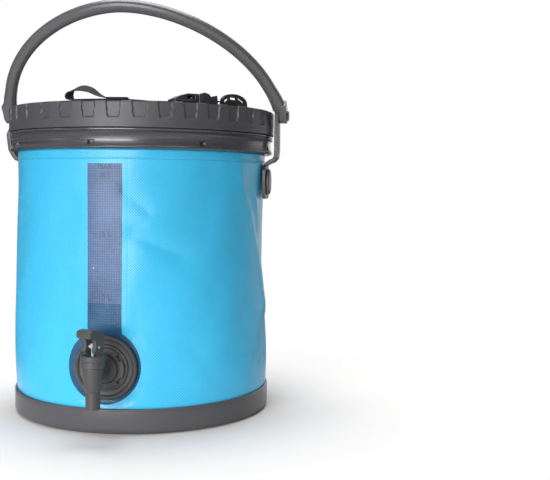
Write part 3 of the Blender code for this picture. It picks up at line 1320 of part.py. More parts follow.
def make_buckle_plug(material, frame):
    """The buckle's plug, with two prongs that reach into the socket and a slot for the webbing."""
    half = BUCKLE_WIDTH / 2
    low = SEAT_Z
    length = BUCKLE_PLUG_LENGTH
    height = BUCKLE_PLUG_HEIGHT
    start = BUCKLE_LENGTH / 2 + RUNNING_GAP
    outline = [(start, low)]
    outline += [(start + x * length, low + z * height) for x, z in BUCKLE_PLUG_SHARES]
    piece = solid("buckle_plug", side_prism(outline, half))
    prong_low = low + BUCKLE_WALL + RUNNING_GAP
    prong_high = low + BUCKLE_STEP_SHARE * BUCKLE_HEIGHT - RUNNING_GAP
    reach = start + SINK - BUCKLE_PRONG_LENGTH
    outer = half - BUCKLE_WALL - RUNNING_GAP
    inner = outer - BUCKLE_PRONG_WIDTH
    for near, far in ((-outer, -inner), (inner, outer)):
        fuse(piece, block((reach, near, prong_low), (start + SINK, far, prong_high)))
    slot = BUCKLE_SLOT_WIDTH_SHARE * half
    first, last = (start + share * length for share in BUCKLE_SLOT_SHARES)
    cut(piece, block((first, -slot, low - OVERRUN), (last, slot, low + height + OVERRUN)))
    seat(piece, material, frame)


def make_keeper(material, frame):
    """The loop behind the plug that keeps the webbing's two layers together."""
    half = KEEPER_WIDTH_SHARE * BUCKLE_WIDTH / 2
    wall = BUCKLE_WALL
    low = SEAT_Z
    start = BUCKLE_LENGTH / 2 + RUNNING_GAP + BUCKLE_PLUG_LENGTH + RUNNING_GAP
    end = start + KEEPER_LENGTH
    outline = [(start, low), (end, low), (end - wall / 2, low + KEEPER_HEIGHT)]
    outline += [(start, low + KEEPER_BACK_SHARE * KEEPER_HEIGHT)]
    piece = solid("strap_keeper", side_prism(outline, half))
    roof = low + KEEPER_MOUTH_SHARE * KEEPER_HEIGHT
    cut(piece, block((start - OVERRUN, wall - half, low + wall), (end + OVERRUN, half - wall, roof)))
    seat(piece, material, frame)


def make_adjuster(material):
    """The arched adjuster that stands on the rim, with its two bars and the slit in its crown."""
    half = ADJUSTER_LENGTH / 2
    height = ADJUSTER_HEIGHT
    angles = np.linspace(0, math.pi, 4 * FILLET_STEPS)
    foot = ADJUSTER_FOOT_SHARE * height
    outline = [(-half, 0.0), (half, 0.0)]
    for angle in angles:
        arch = math.sin(angle)**ADJUSTER_ROUNDNESS
        outline.append((half * math.cos(angle), foot + (height - foot) * arch))
    piece = solid("strap_adjuster", side_prism(outline, ADJUSTER_THICK / 2))
    slot = ADJUSTER_SLOT / 2
    cuts = []
    for centre, rise, length, lean in ADJUSTER_SLOT_SHARES:
        bar = rounded_box(length * half / 2 + slot, -slot, slot, slot, 2)
        tilt = Matrix.Rotation(math.radians(-lean), 4, "Y")
        place = shifted(centre * half, 0, rise * height) @ tilt
        cuts.append(turned(side_prism(bar, ADJUSTER_THICK), place))
    middle = ADJUSTER_SLIT_SHARES[0] * half
    slit_low = (middle - slot / 2, -ADJUSTER_THICK, ADJUSTER_SLIT_SHARES[1] * height)
    slit_high = (middle + slot / 2, ADJUSTER_THICK, height + OVERRUN)
    cut(piece, joined(cuts))
    cut(piece, block(slit_low, slit_high))
    turn = about(ADJUSTER_AZIMUTH)
    place = turn @ shifted(ADJUSTER_RADIUS, 0, SEAT_Z) @ about(90.0)
    piece.data.transform(place)
    seat(piece, material)


def make_strap_end(material, frame):
    """The short webbing from the buckle's plug through the keeper to the adjuster."""
    low = SEAT_Z + BUCKLE_WALL + CLEARANCE
    half = STRAP_WIDTH / 2
    strip = block((STRAP_END_START, -half, low), (STRAP_END_STOP, half, low + STRAP_THICK))
    seat(solid("strap_end", strip), material, frame)


def main():
    """Build every piece."""
    clear_scene()
    materials = {
        "charcoal": make_material("charcoal_plastic", (0.085, 0.085, 0.09), 0.5),
        "mid_grey": make_material("mid_grey_plastic", (0.11, 0.11, 0.115), 0.45),
        "tap_grey": make_material("tap_plastic", (0.12, 0.12, 0.11), 0.5),
        "black": make_material("black_plastic", (0.02, 0.02, 0.022), 0.4),
        "fabric": make_material("coated_fabric", (0.045, 0.52, 0.86), 0.45),
        "window": make_material("window_film", (0.18, 0.26, 0.5), 0.3),
        "webbing": make_material("black_webbing", (0.02, 0.02, 0.022), 0.8),
        "rubber": make_material("rubber", (0.03, 0.03, 0.032), 0.7),
        "stem": make_material("stem_plastic", (0.55, 0.6, 0.58), 0.4),
    }
    make_base_tray(materials["charcoal"])
    make_bag_floor(materials["fabric"])
    make_bag_wall(materials["fabric"])
    make_window_strip(materials["window"])
    make_clamp_hoops(materials["black"])
    make_collar_ring(materials["charcoal"])
    make_lid(materials["charcoal"])
    make_lid_gasket(materials["rubber"])
    make_dome_valve(materials["rubber"])
    make_vent_plug(materials["mid_grey"])
    spot = lid_spot(CAP_RADIUS, CAP_AZIMUTH).to_translation()
    cap_frame = make_frame("cap_frame", TAP_AZIMUTH)
    cap_frame.location = spot
    make_filler_cap(materials["black"], materials["rubber"], cap_frame)
    make_cap_tether(materials["black"], cap_frame)
    for side, azimuth in (("right", LUG_AZIMUTH), ("left", LUG_AZIMUTH + 180.0)):
        make_lug(side, materials, make_frame(f"lug_frame_{side}", azimuth))
    bail_frame = make_frame("bail_frame", LUG_AZIMUTH, PIVOT_Z, BAIL_LEAN)
    make_bail(materials["charcoal"], bail_frame)
    tap_frame = make_frame("tap_frame", TAP_AZIMUTH)
    make_tap_flange(materials, tap_frame)
    make_tap_lock_collar(materials["tap_grey"], tap_frame)
    make_tap_body(materials["tap_grey"], tap_frame)
    make_tap_bonnet(materials["tap_grey"], tap_frame)
    make_tap_stem(materials["stem"], materials["rubber"], tap_frame)
    make_tap_lever(materials["tap_grey"], materials["stem"], tap_frame)
    make_strap(materials["webbing"])
    buckle_frame = make_frame("buckle_frame", BUCKLE_AZIMUTH + 90.0)
    angle = math.radians(BUCKLE_AZIMUTH)
    buckle_frame.location = (BUCKLE_RADIUS * math.cos(angle), BUCKLE_RADIUS * math.sin(angle), 0.0)
    make_buckle_socket(materials["black"], buckle_frame)
    make_buckle_plug(materials["black"], buckle_frame)
    make_keeper(materials["black"], buckle_frame)
    make_adjuster(materials["black"])
    make_strap_end(materials["webbing"], buckle_frame)


main()
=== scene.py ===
"""The looks of a collapsible water carrier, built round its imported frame.

Every piece stays in the row frame: metres, +Z up, the carrier's axis on Z, and the tray's underside
at z = 0. New pieces are grids of points made by numpy: outlines turned round an axis, sections swept
along a line, and height fields. Small hard pieces start from the frame's own solids and get rounded
edges.
"""
from __future__ import annotations

import json
import logging
import math
from dataclasses import dataclass, field
from enum import Enum
from functools import partial
from typing import Callable, Sequence

import bmesh
import bpy
import numpy as np
from mathutils import Matrix, Vector

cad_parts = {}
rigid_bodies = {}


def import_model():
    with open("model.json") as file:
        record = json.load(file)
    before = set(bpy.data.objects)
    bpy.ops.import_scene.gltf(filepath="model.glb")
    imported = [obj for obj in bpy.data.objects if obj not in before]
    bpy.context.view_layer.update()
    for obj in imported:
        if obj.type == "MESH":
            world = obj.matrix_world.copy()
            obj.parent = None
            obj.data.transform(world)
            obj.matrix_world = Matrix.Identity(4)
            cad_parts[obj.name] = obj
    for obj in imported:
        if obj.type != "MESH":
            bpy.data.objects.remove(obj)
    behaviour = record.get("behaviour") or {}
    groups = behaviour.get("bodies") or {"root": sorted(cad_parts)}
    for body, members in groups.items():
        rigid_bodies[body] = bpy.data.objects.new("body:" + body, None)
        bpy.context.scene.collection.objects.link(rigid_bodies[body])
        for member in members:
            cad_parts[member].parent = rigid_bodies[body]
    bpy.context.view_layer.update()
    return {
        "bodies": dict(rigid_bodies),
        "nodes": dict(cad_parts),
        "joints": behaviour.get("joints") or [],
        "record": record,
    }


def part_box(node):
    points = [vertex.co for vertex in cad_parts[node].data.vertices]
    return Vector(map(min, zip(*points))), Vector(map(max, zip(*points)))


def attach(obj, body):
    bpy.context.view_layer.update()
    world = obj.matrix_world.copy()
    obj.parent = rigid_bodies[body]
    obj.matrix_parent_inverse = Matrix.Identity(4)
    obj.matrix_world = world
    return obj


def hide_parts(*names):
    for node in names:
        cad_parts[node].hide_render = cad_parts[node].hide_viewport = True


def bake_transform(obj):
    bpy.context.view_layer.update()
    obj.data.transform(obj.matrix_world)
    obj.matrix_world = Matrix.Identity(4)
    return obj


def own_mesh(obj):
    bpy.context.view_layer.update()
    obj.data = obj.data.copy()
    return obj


LOG = logging.getLogger("carrier")

Array = np.ndarray
Pair = tuple[float, float]
Triple = tuple[float, float, float]
Colour = Triple
Socket = bpy.types.NodeSocket

# Azimuths are in degrees round the carrier's axis. The rim's height is taken over the lid's foot,
# and the dish inside the rim lies its drop below the rim.
MM = 0.001
TAP_AZIMUTH = -105.2
WINDOW_AZIMUTH = -106.0
LUG_AZIMUTH = -16.0
TAP_HEIGHT = 74.0 * MM
RIM_HEIGHT = 28.3 * MM
DISH_DROP = 5.4 * MM
WELD_DISTANCE = 1e-6
MERGE_ANGLE = math.radians(1.0)
SHARP_ANGLE = math.radians(38.0)


class Slot(str, Enum):
    """The record's material slots."""

    CHARCOAL = "charcoal_plastic"
    MID_GREY = "mid_grey_plastic"
    TAP = "tap_plastic"
    BLACK = "black_plastic"
    FABRIC = "coated_fabric"
    WINDOW = "window_film"
    WEBBING = "webbing"
    RUBBER = "rubber"
    STEM = "stem_plastic"


class Body(str, Enum):
    """The frame's rigid bodies."""

    BASE = "base"
    COLLAR = "collar"
    BAIL = "bail"
    LID = "lid"
    PLUG = "buckle_plug"
    CAP = "filler_cap"
    VENT = "vent_plug"
    TAP = "tap"
    STEM = "tap_stem"
    LEVER = "tap_lever"


# Shapes


def smoothstep(share: Array | float) -> Array:
    """Ease from 0 to 1: three times the clipped share's square, less twice its cube."""
    share = np.clip(share, 0.0, 1.0)
    return share * share * (3.0 - 2.0 * share)


def soft_min(first: Array, second: Array, softness: float) -> Array:
    """The softer minimum: half of the sum less the hypotenuse of the difference and the softness."""
    return (first + second - np.hypot(first - second, softness)) / 2.0


def wrapped(angle: Array, period: float = 360.0) -> Array:
    """Bring angles in degrees within half a period of zero, by taking off whole periods."""
    return (angle + period / 2) % period - period / 2


def rounded(points: Sequence[Pair], radius: float, closed: bool = True,
            steps: int = 4) -> Array:
    """Round the corners of an outline: each becomes a parabola drawn toward the corner.

    Args:
        points: The outline's corners.
        radius: How far from each corner its round starts, where the sides are long enough.
        closed: Whether the last corner joins the first.
        steps: Points per round, less one.

    Returns:
        The rounded outline, one point a row.
    """
    corners = np.array(points, float)
    count = len(corners)
    shares = np.linspace(0.0, 1.0, steps + 1)[:, None]
    runs = []
    for index in range(count):
        if not closed and index in (0, count - 1):
            runs.append(corners[index:index + 1])
            continue
        here = corners[index]
        before = corners[index - 1] - here
        after = corners[(index + 1) % count] - here
        reach = min(radius, 0.45 * np.linalg.norm(before), 0.45 * np.linalg.norm(after))
        start = here + before / np.linalg.norm(before) * reach
        end = here + after / np.linalg.norm(after) * reach
        runs.append((1 - shares)**2 * start + 2 * shares * (1 - shares) * here + shares**2 * end)
    return np.vstack(runs)


def spaced(line: Array, spacing: float, closed: bool = False) -> Array:
    """Add points on the long stretches of a line, and keep its own points.

    A stretch is cut into the fewest equal pieces that are no longer than the spacing.

    Args:
        line: The line's points.
        spacing: The longest stretch that is left.
        closed: Whether the last point joins the first.

    Returns:
        The denser line.
    """
    ends = np.roll(line, -1, axis=0) if closed else line[1:]
    starts = line if closed else line[:-1]
    runs = []
    for start, end in zip(starts, ends):
        pieces = max(1, math.ceil(float(np.linalg.norm(end - start)) / spacing))
        runs.append(start + (end - start) * np.linspace(0, 1, pieces, endpoint=False)[:, None])
    if not closed:
        runs.append(line[-1:])
    return np.vstack(runs)


def catmull_rom(points: Sequence[Sequence[float]], steps: int) -> Array:
    """A smooth line through points, which never runs past the two points it is between.

    Each stretch is the cubic whose slope at a point is half the way from the point before it to
    the point after it.

    Args:
        points: The points to pass through.
        steps: Points per stretch.

    Returns:
        The smooth line.
    """
    line = np.array(points, float)
    padded = np.vstack([2 * line[0] - line[1], line, 2 * line[-1] - line[-2]])
    shares = np.linspace(0, 1, steps, endpoint=False)[:, None]
    runs = []
    for index in range(len(line) - 1):
        a, b, c, d = padded[index:index + 4]
        run = b + (c - a) * shares / 2 + (2 * a - 5 * b + 4 * c - d) * shares**2 / 2
        run += (3 * b - a - 3 * c + d) * shares**3 / 2
        runs.append(np.clip(run, np.minimum(b, c), np.maximum(b, c)))
    runs.append(line[-1:])
    return np.vstack(runs)


@dataclass(frozen=True)
class Grid:
    """A surface of rows and columns of points.

    Attributes:
        points: Rows by columns by 3.
        closed_rows: Whether the last row joins the first.
        closed_columns: Whether the last column joins the first.
        uv: Rows by columns by 2, or None for lengths along the surface.
    """

    points: Array
    closed_rows: bool = False
    closed_columns: bool = False
    uv: Array | None = None

    def placed(self, matrix: Matrix) -> Grid:
        """The same surface, moved.

        Args:
            matrix: The move, as a 4 by 4 matrix.

        Returns:
            The moved surface.
        """
        move = np.array(matrix)
        points = self.points @ move[:3, :3].T + move[:3, 3]
        return Grid(points, self.closed_rows, self.closed_columns, self.uv)

    def lengths(self) -> Array:
        """Texture coordinates in metres: running sums of the mean steps across and along.

        Returns:
            Rows by columns by 2.
        """
        if self.uv is not None:
            return self.uv
        across = np.linalg.norm(np.diff(self.points, axis=1), axis=2).mean(0)
        along = np.linalg.norm(np.diff(self.points, axis=0), axis=2).mean(1)
        u = np.concatenate([[0.0], np.cumsum(across)])
        v = np.concatenate([[0.0], np.cumsum(along)])
        return np.stack(np.meshgrid(u, v), axis=2)

    def faces(self) -> Array:
        """Corner numbers of the quads, each between two neighbouring rows and columns.

        Returns:
            Faces by 4.
        """
        rows, columns = self.points.shape[:2]
        row = np.arange(rows if self.closed_rows else rows - 1)[:, None]
        column = np.arange(columns if self.closed_columns else columns - 1)[None, :]
        next_row = (row + 1) % rows
        next_column = (column + 1) % columns
        corners = [row * columns + column, row * columns + next_column,
                   next_row * columns + next_column, next_row * columns + column]
        return np.stack(np.broadcast_arrays(*corners), axis=2).reshape(-1, 4)


def mesh_of(name: str, grids: Sequence[Grid], keep: Callable[[Array], Array] | None = None) -> bpy.types.Mesh:
    """One mesh from one or more grids, with faces outward and texture coordinates in metres.

    Args:
        name: The mesh's name.
        grids: The surfaces.
        keep: Optional test of face centres that says which faces stay.

    Returns:
        The mesh.
    """
    offset = 0
    points, faces, uvs = [], [], []
    for grid in grids:
        points.append(grid.points.reshape(-1, 3))
        faces.append(grid.faces() + offset)
        uvs.append(grid.lengths().reshape(-1, 2))
        offset += len(points[-1])
    points, faces, uvs = np.vstack(points), np.vstack(faces), np.vstack(uvs)
    if keep is not None:
        faces = faces[keep(points[faces].mean(1))]
    mesh = bpy.data.meshes.new(name)
    mesh.vertices.add(len(points))
    mesh.vertices.foreach_set("co", points.astype(np.float32).ravel())
    mesh.loops.add(faces.size)
    mesh.loops.foreach_set("vertex_index", faces.astype(np.int32).ravel())
    mesh.polygons.add(len(faces))
    mesh.polygons.foreach_set("loop_start", np.arange(0, faces.size, 4, dtype=np.int32))
    layer = mesh.uv_layers.new(name="lengths")
    mesh.update(calc_edges=True)
    layer.data.foreach_set("uv", uvs[faces].astype(np.float32).ravel())
    work = bmesh.new()
    work.from_mesh(mesh)
    bmesh.ops.remove_doubles(work, verts=work.verts, dist=WELD_DISTANCE)
    bmesh.ops.dissolve_degenerate(work, dist=WELD_DISTANCE, edges=work.edges)
    bmesh.ops.recalc_face_normals(work, faces=work.faces)
    work.to_mesh(mesh)
    work.free()
    mesh.shade_smooth()
    mesh.set_sharp_from_angle(angle=SHARP_ANGLE)
    return mesh


def lathe(profile: Array, columns: int, closed: bool = True,
          shape: Callable[[Array, Array], Array] | None = None) -> Grid:
    """Turn an outline of (radius, height) round Z: x and y are the radius times cosine and sine.

    Args:
        profile: The outline, one point a row.
        columns: Columns round the axis.
        closed: Whether the outline is closed.
        shape: Optional change of the radius, from the azimuth in degrees and the height.

    Returns:
        The surface.
    """
    azimuth = np.linspace(-180.0, 180.0, columns, endpoint=False)[None, :]
    radius = profile[:, :1] + np.zeros_like(azimuth)
    height = profile[:, 1:] + np.zeros_like(azimuth)
    if shape is not None:
        radius = radius + shape(azimuth + np.zeros_like(radius), height) * (radius > 0)
    turn = np.radians(azimuth)
    points = np.stack([radius * np.cos(turn), radius * np.sin(turn), height], axis=2)
    return Grid(points, closed, True)


def with_ends(points: Array) -> Array:
    """Close rows of points by a first and a last row that stand at their end rows' middles."""
    ends = [row.mean(1, keepdims=True) + np.zeros_like(row) for row in (points[:1], points[-1:])]
    return np.concatenate([ends[0], points, ends[1]])


def swept(line: Array, across: Array, section: Array) -> Grid:
    """Carry a section along a line, each section square to the line's direction.

    Args:
        line: The line's points, N by 3.
        across: The section's first direction at each point, N by 3.
        section: The section's points, M by 2.

    Returns:
        The surface, closed at both ends.
    """
    along = np.gradient(line, axis=0)
    along /= np.linalg.norm(along, axis=1)[:, None]
    across = across - along * np.sum(across * along, axis=1)[:, None]
    across /= np.linalg.norm(across, axis=1)[:, None]
    up = np.cross(along, across)
    points = line[:, None] + across[:, None] * section[:, :1] + up[:, None] * section[:, 1:]
    return Grid(with_ends(points), False, True)


def oval(half_width: float, half_depth: float, count: int, power: float = 2.0) -> Array:
    """A closed superellipse: cosine and sine, each to the power of 2 over the given power.

    Args:
        half_width: Half its first size.
        half_depth: Half its second size.
        count: Number of points.
        power: 2 is an ellipse, and more is squarer.

    Returns:
        The section's points.
    """
    angle = np.linspace(0.0, 2 * math.pi, count, endpoint=False)
    x = np.sign(np.cos(angle)) * np.abs(np.cos(angle))**(2 / power)
    y = np.sign(np.sin(angle)) * np.abs(np.sin(angle))**(2 / power)
    return np.stack([half_width * x, half_depth * y], axis=1)


def rectangle(half_length: float, half_width: float) -> list[Pair]:
    """The corners of a rectangle round the origin."""
    return [(-half_length, -half_width), (half_length, -half_width), (half_length, half_width),
            (-half_length, half_width)]


def slab(outline: Array, low: float, high: float, edge: float) -> Grid:
    """A plate from an outline: near both faces the outline shrinks along a quarter circle.

    Args:
        outline: The outline's points, anticlockwise.
        low: The plate's low face.
        high: The plate's high face.
        edge: The radius of the round edges.

    Returns:
        The surface, closed at both faces by points at the outline's middle.
    """
    after = np.roll(outline, -1, axis=0) - np.roll(outline, 1, axis=0)
    normal = np.stack([after[:, 1], -after[:, 0]], axis=1)
    normal /= np.linalg.norm(normal, axis=1)[:, None]
    rings = []
    for face, side, turns in ((low, 1.0, (-90.0, -60.0, -30.0, 0.0)), (high, -1.0, (0.0, 30.0, 60.0, 90.0))):
        for angle in np.radians(turns):
            inset = edge * (1 - math.cos(angle))
            rings.append((outline - normal * inset, face + side * edge + edge * math.sin(angle)))
    middle = outline.mean(0)
    rings.insert(0, (middle + np.zeros_like(outline), low))
    rings.append((middle + np.zeros_like(outline), high))
    points = np.stack([np.column_stack([ring, np.full(len(ring), level)]) for ring, level in rings])
    return Grid(points, False, True)


def polar(radius: float, azimuth: float, height: float = 0.0) -> Vector:
    """A point from its radius, its azimuth in degrees and its height."""
    turn = math.radians(azimuth)
    return Vector((radius * math.cos(turn), radius * math.sin(turn), height))


def facing(azimuth: float, height: float = 0.0) -> Matrix:
    """A frame whose Z axis points out of the wall and whose X axis points up.

    Args:
        azimuth: The direction out, in degrees.
        height: The frame's height.

    Returns:
        The placing matrix.
    """
    out = polar(1.0, azimuth)
    up = Vector((0.0, 0.0, 1.0))
    side = out.cross(up)
    rows = Matrix((up, side, out)).transposed().to_4x4()
    return Matrix.Translation((0.0, 0.0, height)) @ rows


# Materials


def add_node(tree: bpy.types.NodeTree, kind: str, inputs: dict | None = None,
             **settings: object) -> bpy.types.Node:
    """Add a shader node.

    Args:
        tree: The tree that gets it.
        kind: The node's type name, without the ShaderNode part.
        inputs: Input name or number to a value or a socket.
        settings: Values of the node's own properties.

    Returns:
        The node.
    """
    made = tree.nodes.new("ShaderNode" + kind)
    for key, value in settings.items():
        setattr(made, key, value)
    for key, value in (inputs or {}).items():
        if isinstance(value, Socket):
            tree.links.new(value, made.inputs[key])
        else:
            made.inputs[key].default_value = value
    return made


class Graph:
    """A short way to write a material's nodes."""

    def __init__(self, name: str) -> None:
        """Start a material with a Principled shader.

        Args:
            name: The material's name.
        """
        self.material = bpy.data.materials.new(name)
        self.material.use_nodes = True
        self.tree = self.material.node_tree
        self.shader = self.tree.nodes["Principled BSDF"]

    def node(self, kind: str, inputs: dict | None = None, **settings: object) -> bpy.types.Node:
        """Add a node to the material, with values or sockets for its inputs."""
        return add_node(self.tree, kind, inputs, **settings)

    def math(self, operation: str, first: object, second: object = 0.0,
             third: object = 0.0) -> Socket:
        """One sum of up to three values or sockets."""
        return self.node("Math", {0: first, 1: second, 2: third}, operation=operation).outputs[0]

    def fit(self, value: object, factor: object, offset: object) -> Socket:
        """A value times a factor, plus an offset."""
        return self.math("MULTIPLY_ADD", value, factor, offset)

    def times(self, first: object, second: object) -> Socket:
        """The product of two values or sockets."""
        return self.math("MULTIPLY", first, second)

    def minus(self, first: object, second: object) -> Socket:
        """The first less the second."""
        return self.math("SUBTRACT", first, second)

    def noise(self, scale: float, detail: float = 2.0, stretch: Sequence[float] = (1, 1, 1),
              vector: Socket | None = None) -> Socket:
        """Noise in the row frame.

        Args:
            scale: Waves per metre.
            detail: Octaves.
            stretch: A factor on each axis.
            vector: Other coordinates.

        Returns:
            The noise's socket, round 0.5.
        """
        where = vector or self.node("TexCoord").outputs["Object"]
        moved = self.node("Mapping", {"Vector": where, "Scale": tuple(stretch)})
        inputs = {"Vector": moved.outputs[0], "Scale": scale, "Detail": detail}
        return self.node("TexNoise", inputs).outputs["Fac"]

    def step(self, value: object, low: float, high: float) -> Socket:
        """Ease from 0 at the low value to 1 at the high one."""
        inputs = {"Value": value, "From Min": low, "From Max": high}
        return self.node("MapRange", inputs, interpolation_type="SMOOTHSTEP").outputs[0]

    def blend(self, share: object, first: object, second: object) -> Socket:
        """Mix two colours.

        Args:
            share: The second colour's share.
            first: A colour or a socket.
            second: A colour or a socket.

        Returns:
            The mixed colour's socket.
        """
        made = self.node("Mix", {"Factor": share}, data_type="RGBA")
        for key, value in ((6, first), (7, second)):
            if isinstance(value, Socket):
                self.tree.links.new(value, made.inputs[key])
            else:
                made.inputs[key].default_value = (*value, 1.0)
        return made.outputs[2]

    def scaled(self, colour: Colour | Socket,
               factor: Socket) -> Socket:
        """A colour, plain or from a socket, times a factor."""
        inputs = {0: colour, "Scale": factor}
        return self.node("VectorMath", inputs, operation="SCALE").outputs[0]

    def connect(self, **sockets: object) -> None:
        """Give the shader its inputs.

        Args:
            sockets: Input name, with _ for a space, to a value or a socket.
        """
        for key, value in sockets.items():
            target = self.shader.inputs[key.replace("_", " ")]
            if isinstance(value, Socket):
                self.tree.links.new(value, target)
            else:
                target.default_value = value

    def bump(self, height: Socket, depth: float,
             below: Socket | None = None) -> Socket:
        """Relief from a height field.

        Args:
            height: The field, about 0 to 1.
            depth: The relief's depth in metres.
            below: A coarser relief to add this to.

        Returns:
            The normal's socket.
        """
        inputs = {"Height": height, "Distance": depth, "Strength": 1.0}
        if below is not None:
            inputs["Normal"] = below
        return self.node("Bump", inputs).outputs[0]


@dataclass(frozen=True)
class Surface:
    """A finish.

    Attributes:
        name: The material's name.
        colour: Its main colour.
    """

    name: str
    colour: Colour

    def paint(self, graph: Graph) -> None:
        """Write the finish's nodes: each kind of finish has its own."""
        raise NotImplementedError

    def material(self) -> bpy.types.Material:
        """Build the material.

        Returns:
            The material.
        """
        graph = Graph(self.name)
        self.paint(graph)
        return graph.material


@dataclass(frozen=True)
class MouldedPlastic(Surface):
    """Moulded plastic: fine grain, cloudy gloss, and a little dust on what faces up.

    Attributes:
        roughness: Its mean roughness.
        grain: Depth of the moulded grain in metres.
        streaks_and_highlights: Strength of the fine lines round the piece, which are glossier, and lighter in
            colour as painted highlights.
        dust: Share of dust on faces that look up.
    """

    roughness: float
    grain: float = 0.04 * MM
    streaks_and_highlights: float = 0.0
    dust: float = 0.05

    def paint(self, graph: Graph) -> None:
        """Write the finish's nodes.

        Args:
            graph: The material.
        """
        # Broad clouds, hand-sized patches, moulded grain, and lines that run round the piece, whose lighter
        # colour is a painted highlight.
        cloud = graph.noise(9.0, 4.0)
        patch = graph.noise(60.0, 3.0)
        fine = graph.noise(1900.0, 2.0)
        ring = graph.noise(4.0, 6.0, (1.0, 1.0, 110.0))
        tone = graph.fit(cloud, 0.24, 0.88)
        tone = graph.times(tone, graph.fit(fine, 0.16, 0.92))
        # The lines are lighter, as a painted highlight, and glossier where their noise is above its middle.
        line = graph.minus(ring, 0.5)
        tone = graph.times(tone, graph.fit(line, 3.0 * self.streaks_and_highlights, 1.0))
        # Dust lies in patches where the normal points up, pale and matt.
        up = graph.node("SeparateXYZ", {0: graph.node("NewGeometry").outputs["Normal"]}).outputs[2]
        dust = graph.times(graph.step(up, 0.35, 1.0), graph.step(patch, 0.42, 0.72))
        dust = graph.times(dust, self.dust)
        colour = graph.blend(dust, graph.scaled(self.colour, tone), (0.42, 0.41, 0.40))
        rough = graph.fit(patch, 0.16, self.roughness - 0.08)
        rough = graph.fit(line, -1.6 * self.streaks_and_highlights, rough)
        rough = graph.math("ADD", rough, dust)
        normal = graph.bump(fine, self.grain)
        graph.connect(Base_Color=colour, Roughness=rough, Normal=normal)


@dataclass(frozen=True)
class Rubber(Surface):
    """Soft rubber: even, matt, with a faint bloom."""

    def paint(self, graph: Graph) -> None:
        """Write the finish's nodes.

        Args:
            graph: The material.
        """
        cloud = graph.noise(40.0, 4.0)
        fine = graph.noise(1500.0)
        tone = graph.fit(cloud, 0.5, 0.75)
        rough = graph.fit(cloud, 0.2, 0.6)
        graph.connect(Base_Color=graph.scaled(self.colour, tone), Roughness=rough,
                      Normal=graph.bump(fine, 0.03 * MM))


@dataclass(frozen=True)
class ClearPlastic(Surface):
    """Pale, half clear plastic."""

    def paint(self, graph: Graph) -> None:
        """Write the finish's nodes.

        Args:
            graph: The material.
        """
        cloud = graph.noise(300.0, 3.0)
        rough = graph.fit(cloud, 0.2, 0.15)
        tone = graph.fit(cloud, 0.3, 0.85)
        graph.connect(Base_Color=graph.scaled(self.colour, tone), Roughness=rough)
        graph.connect(Transmission_Weight=0.25, IOR=1.49)


@dataclass(frozen=True)
class CoatedFabric(Surface):
    """Coated fabric: a scrim of small knots under a smooth coat, with welded seams pressed in.

    The texture coordinates are metres: along the wall from the window's line, and up.

    Attributes:
        knot_and_glint: Its colour on the scrim's knots: partly the scrim's own pattern, and partly a painted
            glint, paler and lighter than the fabric.
        pitch: Distance between the scrim's knots.
        seam_height: Height of the weld below the collar.
        frame_half: Half the width of the weld round the window.
        frame_top: Top of that weld.
        frame_radius: Radius of the weld round the window's disc.
        disc_height: Height of the disc's middle.
        fade: How much darker the fabric is at the top than at the foot: painted shade, as if the top got less
            light.
    """

    knot_and_glint: Colour
    pitch: float = 3.15 * MM
    seam_height: float = 300.5 * MM
    frame_half: float = 25.5 * MM
    frame_top: float = 300.0 * MM
    frame_radius: float = 47.5 * MM
    disc_height: float = TAP_HEIGHT
    fade: float = 0.24

    def paint(self, graph: Graph) -> None:
        """Write the finish's nodes.

        Args:
            graph: The material.
        """
        uv = graph.node("UVMap", uv_map="lengths").outputs[0]
        parts = graph.node("SeparateXYZ", {0: uv})
        u, v = parts.outputs[0], parts.outputs[1]
        # The knots are the product of a sine along the wall and one up it, weaker in patches.
        wave = 2 * math.pi / self.pitch
        first = graph.math("SINE", graph.times(u, wave))
        second = graph.math("SINE", graph.times(v, wave))
        knots = graph.times(first, second)
        cloud = graph.noise(7.0, 3.0)
        patch = graph.noise(38.0, 3.0)
        fine = graph.noise(900.0, 2.0)
        strength = graph.fit(graph.step(patch, 0.3, 0.7), 0.5, 0.5)
        knots = graph.times(knots, strength)
        # The weld follows the line where the distance to the strip or to the disc is nought.
        side = graph.minus(graph.math("ABSOLUTE", u), self.frame_half)
        top = graph.minus(v, self.frame_top)
        strip = graph.math("MAXIMUM", side, top)
        under = graph.minus(self.disc_height, v)
        strip = graph.math("MAXIMUM", strip, under)
        drop = graph.minus(v, self.disc_height)
        square = graph.math("ADD", graph.times(u, u), graph.times(drop, drop))
        disc = graph.minus(graph.math("SQRT", square), self.frame_radius)
        edge = graph.math("ABSOLUTE", graph.math("MINIMUM", strip, disc))
        weld = graph.minus(1.0, graph.step(edge, 0.2 * MM, 1.3 * MM))
        # The seam is a level line below the collar, and the band above it is a second layer.
        seam = graph.math("ABSOLUTE", graph.minus(v, self.seam_height))
        seam = graph.minus(1.0, graph.step(seam, 0.2 * MM, 1.4 * MM))
        pressed = graph.math("MAXIMUM", graph.times(weld, 0.3), seam)
        band = graph.step(v, self.seam_height - 1.0 * MM, self.seam_height + 1.0 * MM)
        tone = graph.fit(cloud, 0.12, 1.07)
        # Painted shade: the tone falls toward the seam, so the wall is darker at the top as if less lit.
        tone = graph.fit(graph.step(v, 0.0, self.seam_height), -self.fade, tone)
        tone = graph.fit(weld, -0.02, tone)
        tone = graph.fit(seam, -0.08, tone)
        tone = graph.fit(band, -0.04, tone)
        # From sines to a share of the knots' colour, which is partly the scrim's pattern and partly a painted
        # glint on the knots.
        share = graph.fit(knots, 0.5, 0.5)
        colour = graph.blend(share, self.colour, self.knot_and_glint)
        rough = graph.fit(patch, 0.12, 0.22)
        rough = graph.fit(knots, -0.05, rough)
        relief = graph.bump(graph.times(pressed, -1.0), 0.3 * MM)
        relief = graph.bump(knots, 0.09 * MM, relief)
        relief = graph.bump(fine, 0.02 * MM, relief)
        graph.connect(Base_Color=graph.scaled(colour, tone), Roughness=rough, Normal=relief)
        graph.connect(Specular_IOR_Level=0.36)


